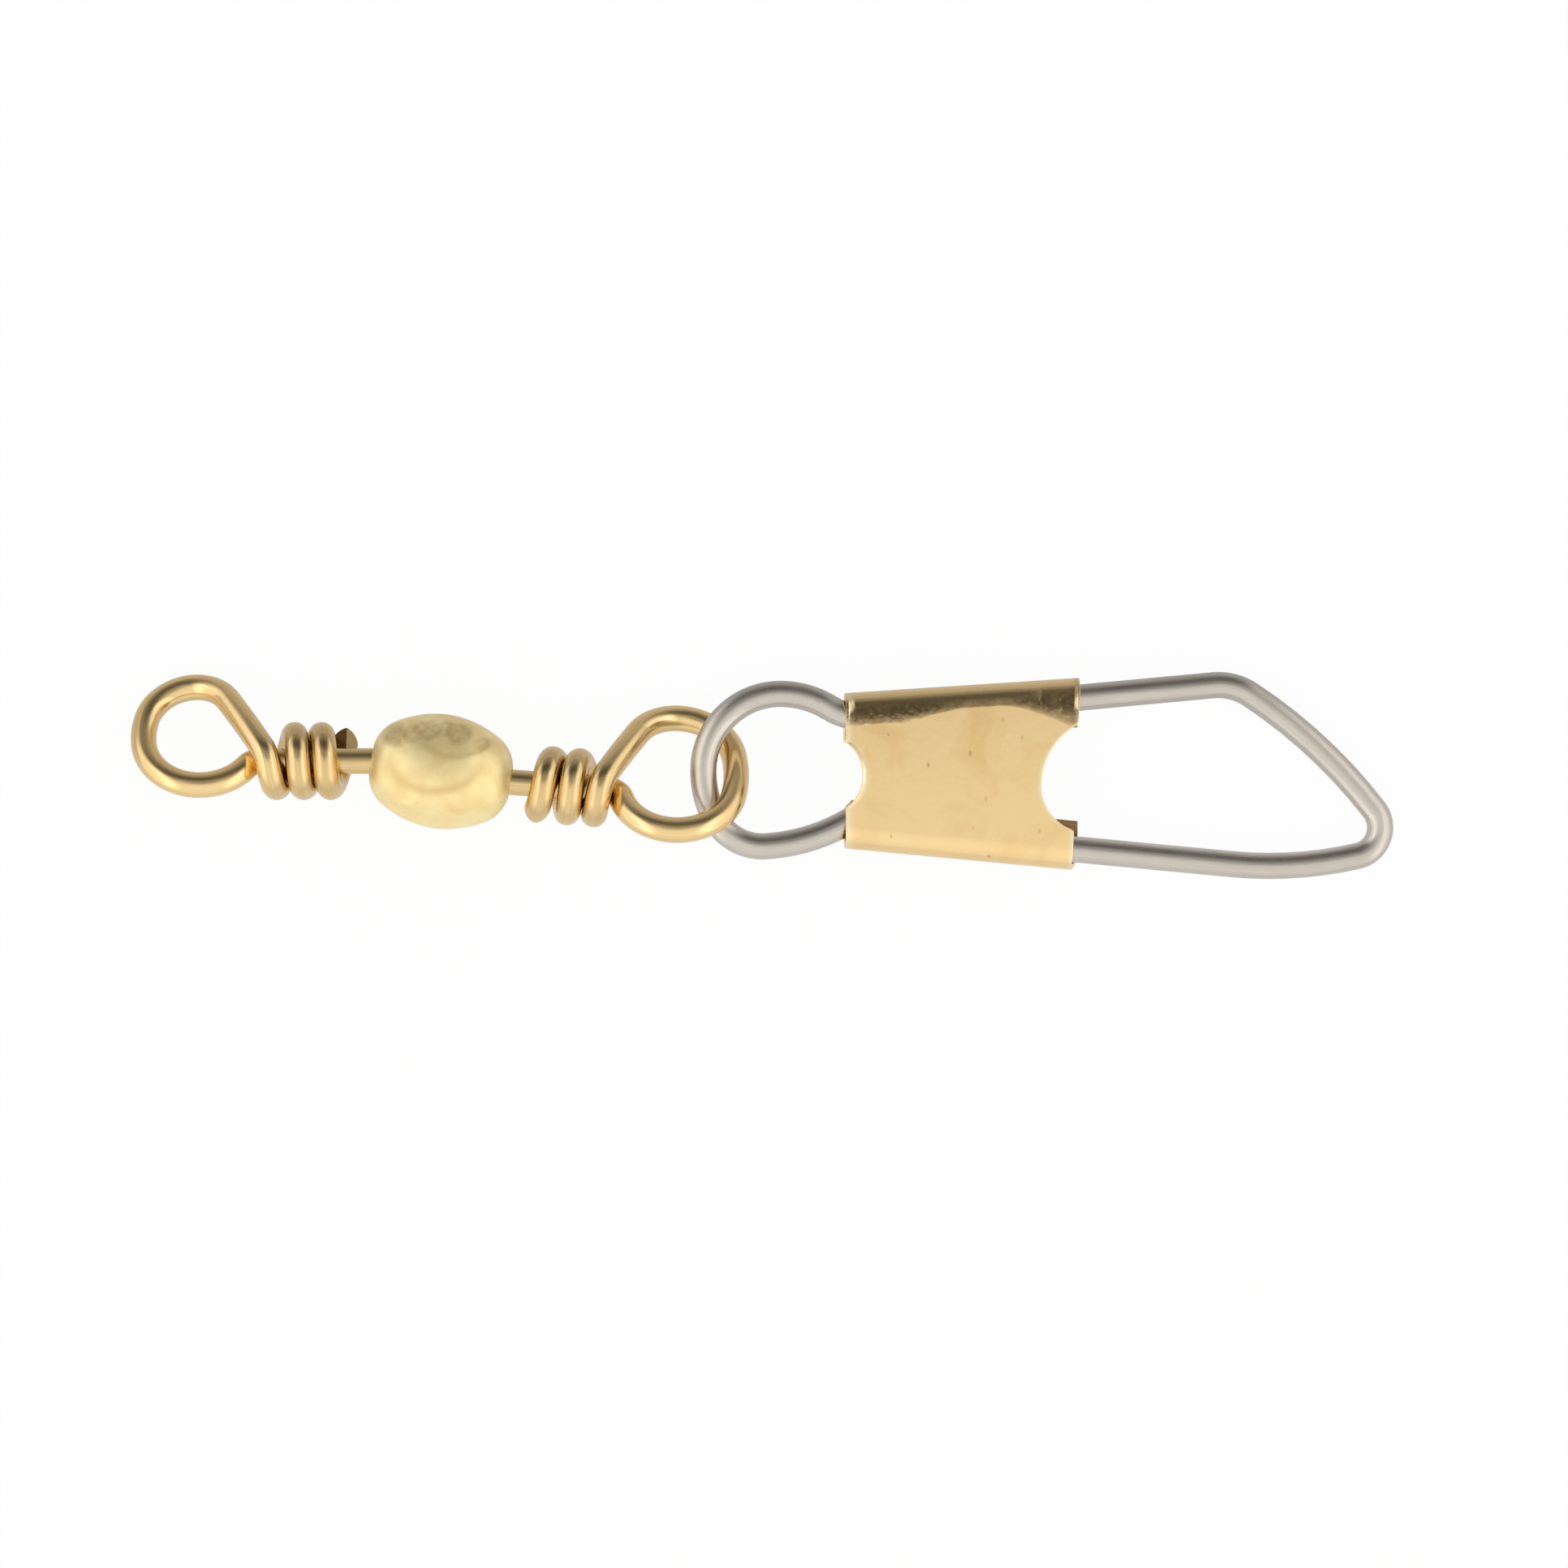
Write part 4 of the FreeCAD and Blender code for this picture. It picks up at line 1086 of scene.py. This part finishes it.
def rolled_strip():
    """The clip's metal, on the sheet's own coordinates: along the fold, down from it, and out of the page."""
    finish, tree, metal = new_finish("rolled_brass")
    space = object_place(tree)
    sheet = layer(tree, "strip_place")
    along, down, out = split(sheet)
    from_near, from_far = split(layer(tree, "edge_place"))[:2]
    stain = noise(space, 330, 4, 0.6, 0.6)
    ripple = noise(stretched(space, (1, 1.6, 1)), 900, 2, 0.5)
    skin = noise(space, 5200, 3, 0.7)
    crumple = noise(space, 3000, 1.5, 0.5)
    rolled = noise(stretched(sheet, (0.5, 14, 14)), 1.0, 4, 0.6)
    # where the sheet is bent, where its cut ends are, and where its back is
    rumpled = maths("MAXIMUM", between(along, 3.6, 5.2, 0.16, 0.03), between(along, 8.2, 9.6, 0.03, 0.10))
    uneven = times(minus(crumple, 0.5), rumpled)
    shoulder, bent = fold_shoulder(along, plus(down, uneven))
    inside = times(between(from_near, 0.14, 0.42), between(from_far, 0.08, 0.26))
    front = maths("GREATER_THAN", out, 0.0)
    bent = times(bent, inside, front)
    behind = times(between(out, -0.5, -1.0), between(along, 0.3, 0.9))
    # colour
    tone = tint(between(stain, 0.50, 0.72, 0.0, 0.5), *STAIN_TONES)
    tone = tint(times(specks(space), 0.5), tone, SPECK_TONE)
    # painted dark reflection: darken the band where the shoulder bends, unevenly
    tone = tint(times(bent, between(crumple, 0.35, 0.7, 0.6, 0.2)), tone, FOLD_BAND_SHADE_TONE)
    # painted highlight: lighten the sheet near its cut ends
    tone = tint(times(minus(1.0, inside), 0.5), tone, EDGE_HIGHLIGHT_TONE)
    # painted shade: the back flaps are painted brown, darker towards the lower fold
    tone = tint(times(behind, 0.9), tone, tint(between(down, 5.6, 6.5), *BACK_SHADE_TONES))
    # gloss
    gloss = plus(between(skin, 0.3, 0.7, 0.14, 0.22), times(behind, 0.15), times(bent, 0.07))
    # form: the shoulder, a slight bow of the face, and a lip along the near end
    middle = minus(down, FACE_MIDDLE)
    bow = times(middle, middle, -FACE_BOW)
    lip = between(from_near, LIP_WIDTH, 0.0)
    lip = times(lip, lip, between(stain, 0.35, 0.6, 0.03, 0.06))
    shoulder = times(shoulder, plus(times(inside, 0.4), 0.6))
    form = times(plus(shoulder, bow, lip), front)
    normal = bumped((form, MM), (ripple, 4e-6), (rolled, 7e-7), (skin, 5e-7))
    feed(metal, {"Base Color": tone, "Roughness": gloss, "Normal": normal, "Metallic": 1})
    return finish


strip_brass = rolled_strip()
clip.data.materials.append(strip_brass)

# %% Thickness and softened edges
SHEAR_ROUND = 0.085
thick = clip.modifiers.new("thickness", "SOLIDIFY")
thick.thickness = STRIP * MM
thick.offset = -1
soft = clip.modifiers.new("softened", "BEVEL")
soft.width = SHEAR_ROUND * MM
soft.segments = 3
soft.limit_method = "ANGLE"
soft.angle_limit = SHARP_CORNER
keep_shape(clip)
clip.data.polygons.foreach_set("use_smooth", [True] * len(clip.data.polygons))
settle_faces(clip)
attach(clip, "snap")
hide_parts("clip_plate")
print_departure(clip, "clip_plate")

# %% [markdown]
# ## Floor, light and camera
#
# The picture is a cut-out on white, taken straight from above with a long lens. Metal shows its surroundings,
# so the surroundings are the light: a bright tent on the near side, a dark gap overhead that leans to the far
# side, and mid grey beyond. The background is white only for the camera. The floor is white for the camera and
# a plain card in reflections, and to all other light it is a pale matt floor.


# %% Floor
FLOOR = 1.2
WHITE = (1, 1, 1, 1)


def white_floor():
    """A pale matt floor that is white to the camera and a card in reflections, darker at its far side."""
    finish, tree, shader = new_finish("white_floor")
    feed(shader, {"Base Color": (0.92, 0.92, 0.92, 1), "Roughness": 1})
    far_side = between(split(object_place(tree))[1], -0.004, 0.012)
    path = source(tree, "ShaderNodeLightPath").outputs
    card = tint(far_side, (0.85, 0.85, 0.85, 1), (0.42, 0.41, 0.39, 1))
    card = tint(path["Is Camera Ray"], card, WHITE)
    glow = add("ShaderNodeEmission", {"Strength": 1, "Color": card})
    share = maths("MAXIMUM", times(path["Is Camera Ray"], 0.96), times(path["Is Glossy Ray"], 0.8))
    mix = add("ShaderNodeMixShader", {0: share, 1: shader.outputs[0], 2: glow})
    feed(tree.nodes["Material Output"], {"Surface": mix})
    return finish


floor_corners = [(-FLOOR, -FLOOR, 0), (FLOOR, -FLOOR, 0), (FLOOR, FLOOR, 0), (-FLOOR, FLOOR, 0)]
floor = new_object("floor", floor_corners, (), [(0, 1, 2, 3)])
floor.data.materials.append(white_floor())
floor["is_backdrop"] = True

# %% [markdown]
# ### The light tent
#
# The tent is drawn in the world's own nodes. The direction of a ray gives its lean to the near or far side,
# and a colour ramp turns that lean into brightness: bright on the near side, a dark seam well over to the far
# side, and mid grey beyond. A brighter strip stands on the left and on the right, and the lens looks in
# through a small gap overhead. Real softboxes would do the same work, but their straight edges would have to
# be placed one by one, and a ramp is one thing to tune.


# %% World
# lean in degrees, from the near side to the far side, and brightness
TENT = [(-90, 0.95), (-45, 1.05), (-14, 1.0), (7, 0.84), (20, 0.48), (34, 0.26), (44, 0.12), (56, 0.09),
        (66, 0.16), (78, 0.30), (90, 0.36)]
SIDE_TENT = (1.16, 1.14, 1.10, 1)
SIDE_STRIP = (1.65, 1.62, 1.57, 1)
GAP_DARK = (0.02, 0.02, 0.02, 1)
GAP_LEAN, GAP_LENGTH, GAP_WIDTH = 13, 10, 16


def tent_ramp(lean):
    """The tent's brightness from a ray's lean."""
    ramp = source(lean.id_data, "ShaderNodeValToRGB", {0: between(lean, -90, 90)})
    points = ramp.color_ramp.elements
    while len(points) < len(TENT):
        points.new(0.5)
    for point, (degrees, level) in zip(points, TENT):
        point.position = degrees / 180 + 0.5
        point.color = (level, level * 0.99, level * 0.96, 1)
    return ramp.outputs[0]


def light_tent():
    """The world: a tent of light that only lights and reflects, and white for the camera."""
    world = bpy.data.worlds.new("light_tent")
    bpy.context.scene.world = world
    world.use_nodes = True
    tree = world.node_tree
    x, y, z = split(source(tree, "ShaderNodeTexCoord").outputs["Generated"])
    lean = times(maths("ARCTAN2", y, z), 180 / math.pi)
    aside = times(maths("ARCSINE", x), 180 / math.pi)
    out = maths("ABSOLUTE", aside)
    tent = tint(between(out, 26, 46), tent_ramp(lean), SIDE_TENT)
    reach = between(maths("ABSOLUTE", plus(lean, 12)), 65, 45)
    strip = times(between(out, 28, 40), between(out, 60, 45), reach)
    tent = tint(strip, tent, SIDE_STRIP)
    off_y = maths("DIVIDE", minus(lean, GAP_LEAN), GAP_LENGTH)
    off_x = maths("DIVIDE", aside, GAP_WIDTH)
    off = maths("SQRT", plus(times(off_y, off_y), times(off_x, off_x)))
    tent = tint(between(off, 0.7, 1.3, 0.35, 0.0), tent, GAP_DARK)
    white = tint(source(tree, "ShaderNodeLightPath").outputs["Is Camera Ray"], tent, WHITE)
    feed(tree.nodes["Background"], {"Color": white, "Strength": 1.0})


light_tent()

# %% [markdown]
# ### Camera
#
# The picture is 74.3 mm wide at the height of the wires, seen straight down. A long lens keeps the near and
# far parts at one scale, as in the picture.

# %% Camera
PICTURE_WIDTH = 74.31 * MM
PICTURE_MIDDLE = (1.0 * MM, -0.404 * MM)
LENS, SENSOR = 200.0, 36.0
MIDDLE_HEIGHT = 2.0 * MM
camera_data = bpy.data.cameras.new("camera")
camera_data.lens = LENS
camera_data.sensor_width = SENSOR
camera = bpy.data.objects.new("camera", camera_data)
scene = bpy.context.scene
scene.collection.objects.link(camera)
camera.location = (*PICTURE_MIDDLE, MIDDLE_HEIGHT + PICTURE_WIDTH * LENS / SENSOR)
camera_data.clip_start = 0.01
camera_data.clip_end = 10
scene.camera = camera
scene.view_settings.view_transform = "Standard"
print("camera height:", round(camera.location.z, 3), "m")

# %% Print both boxes and finish
shown_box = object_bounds()
boxes = {"cad": [list(corner) for corner in cad_box], "visual": [list(corner) for corner in shown_box]}
in_mm = {key: [[round(value / MM, 2) for value in corner] for corner in box] for key, box in boxes.items()}
print("boxes in mm:", in_mm)
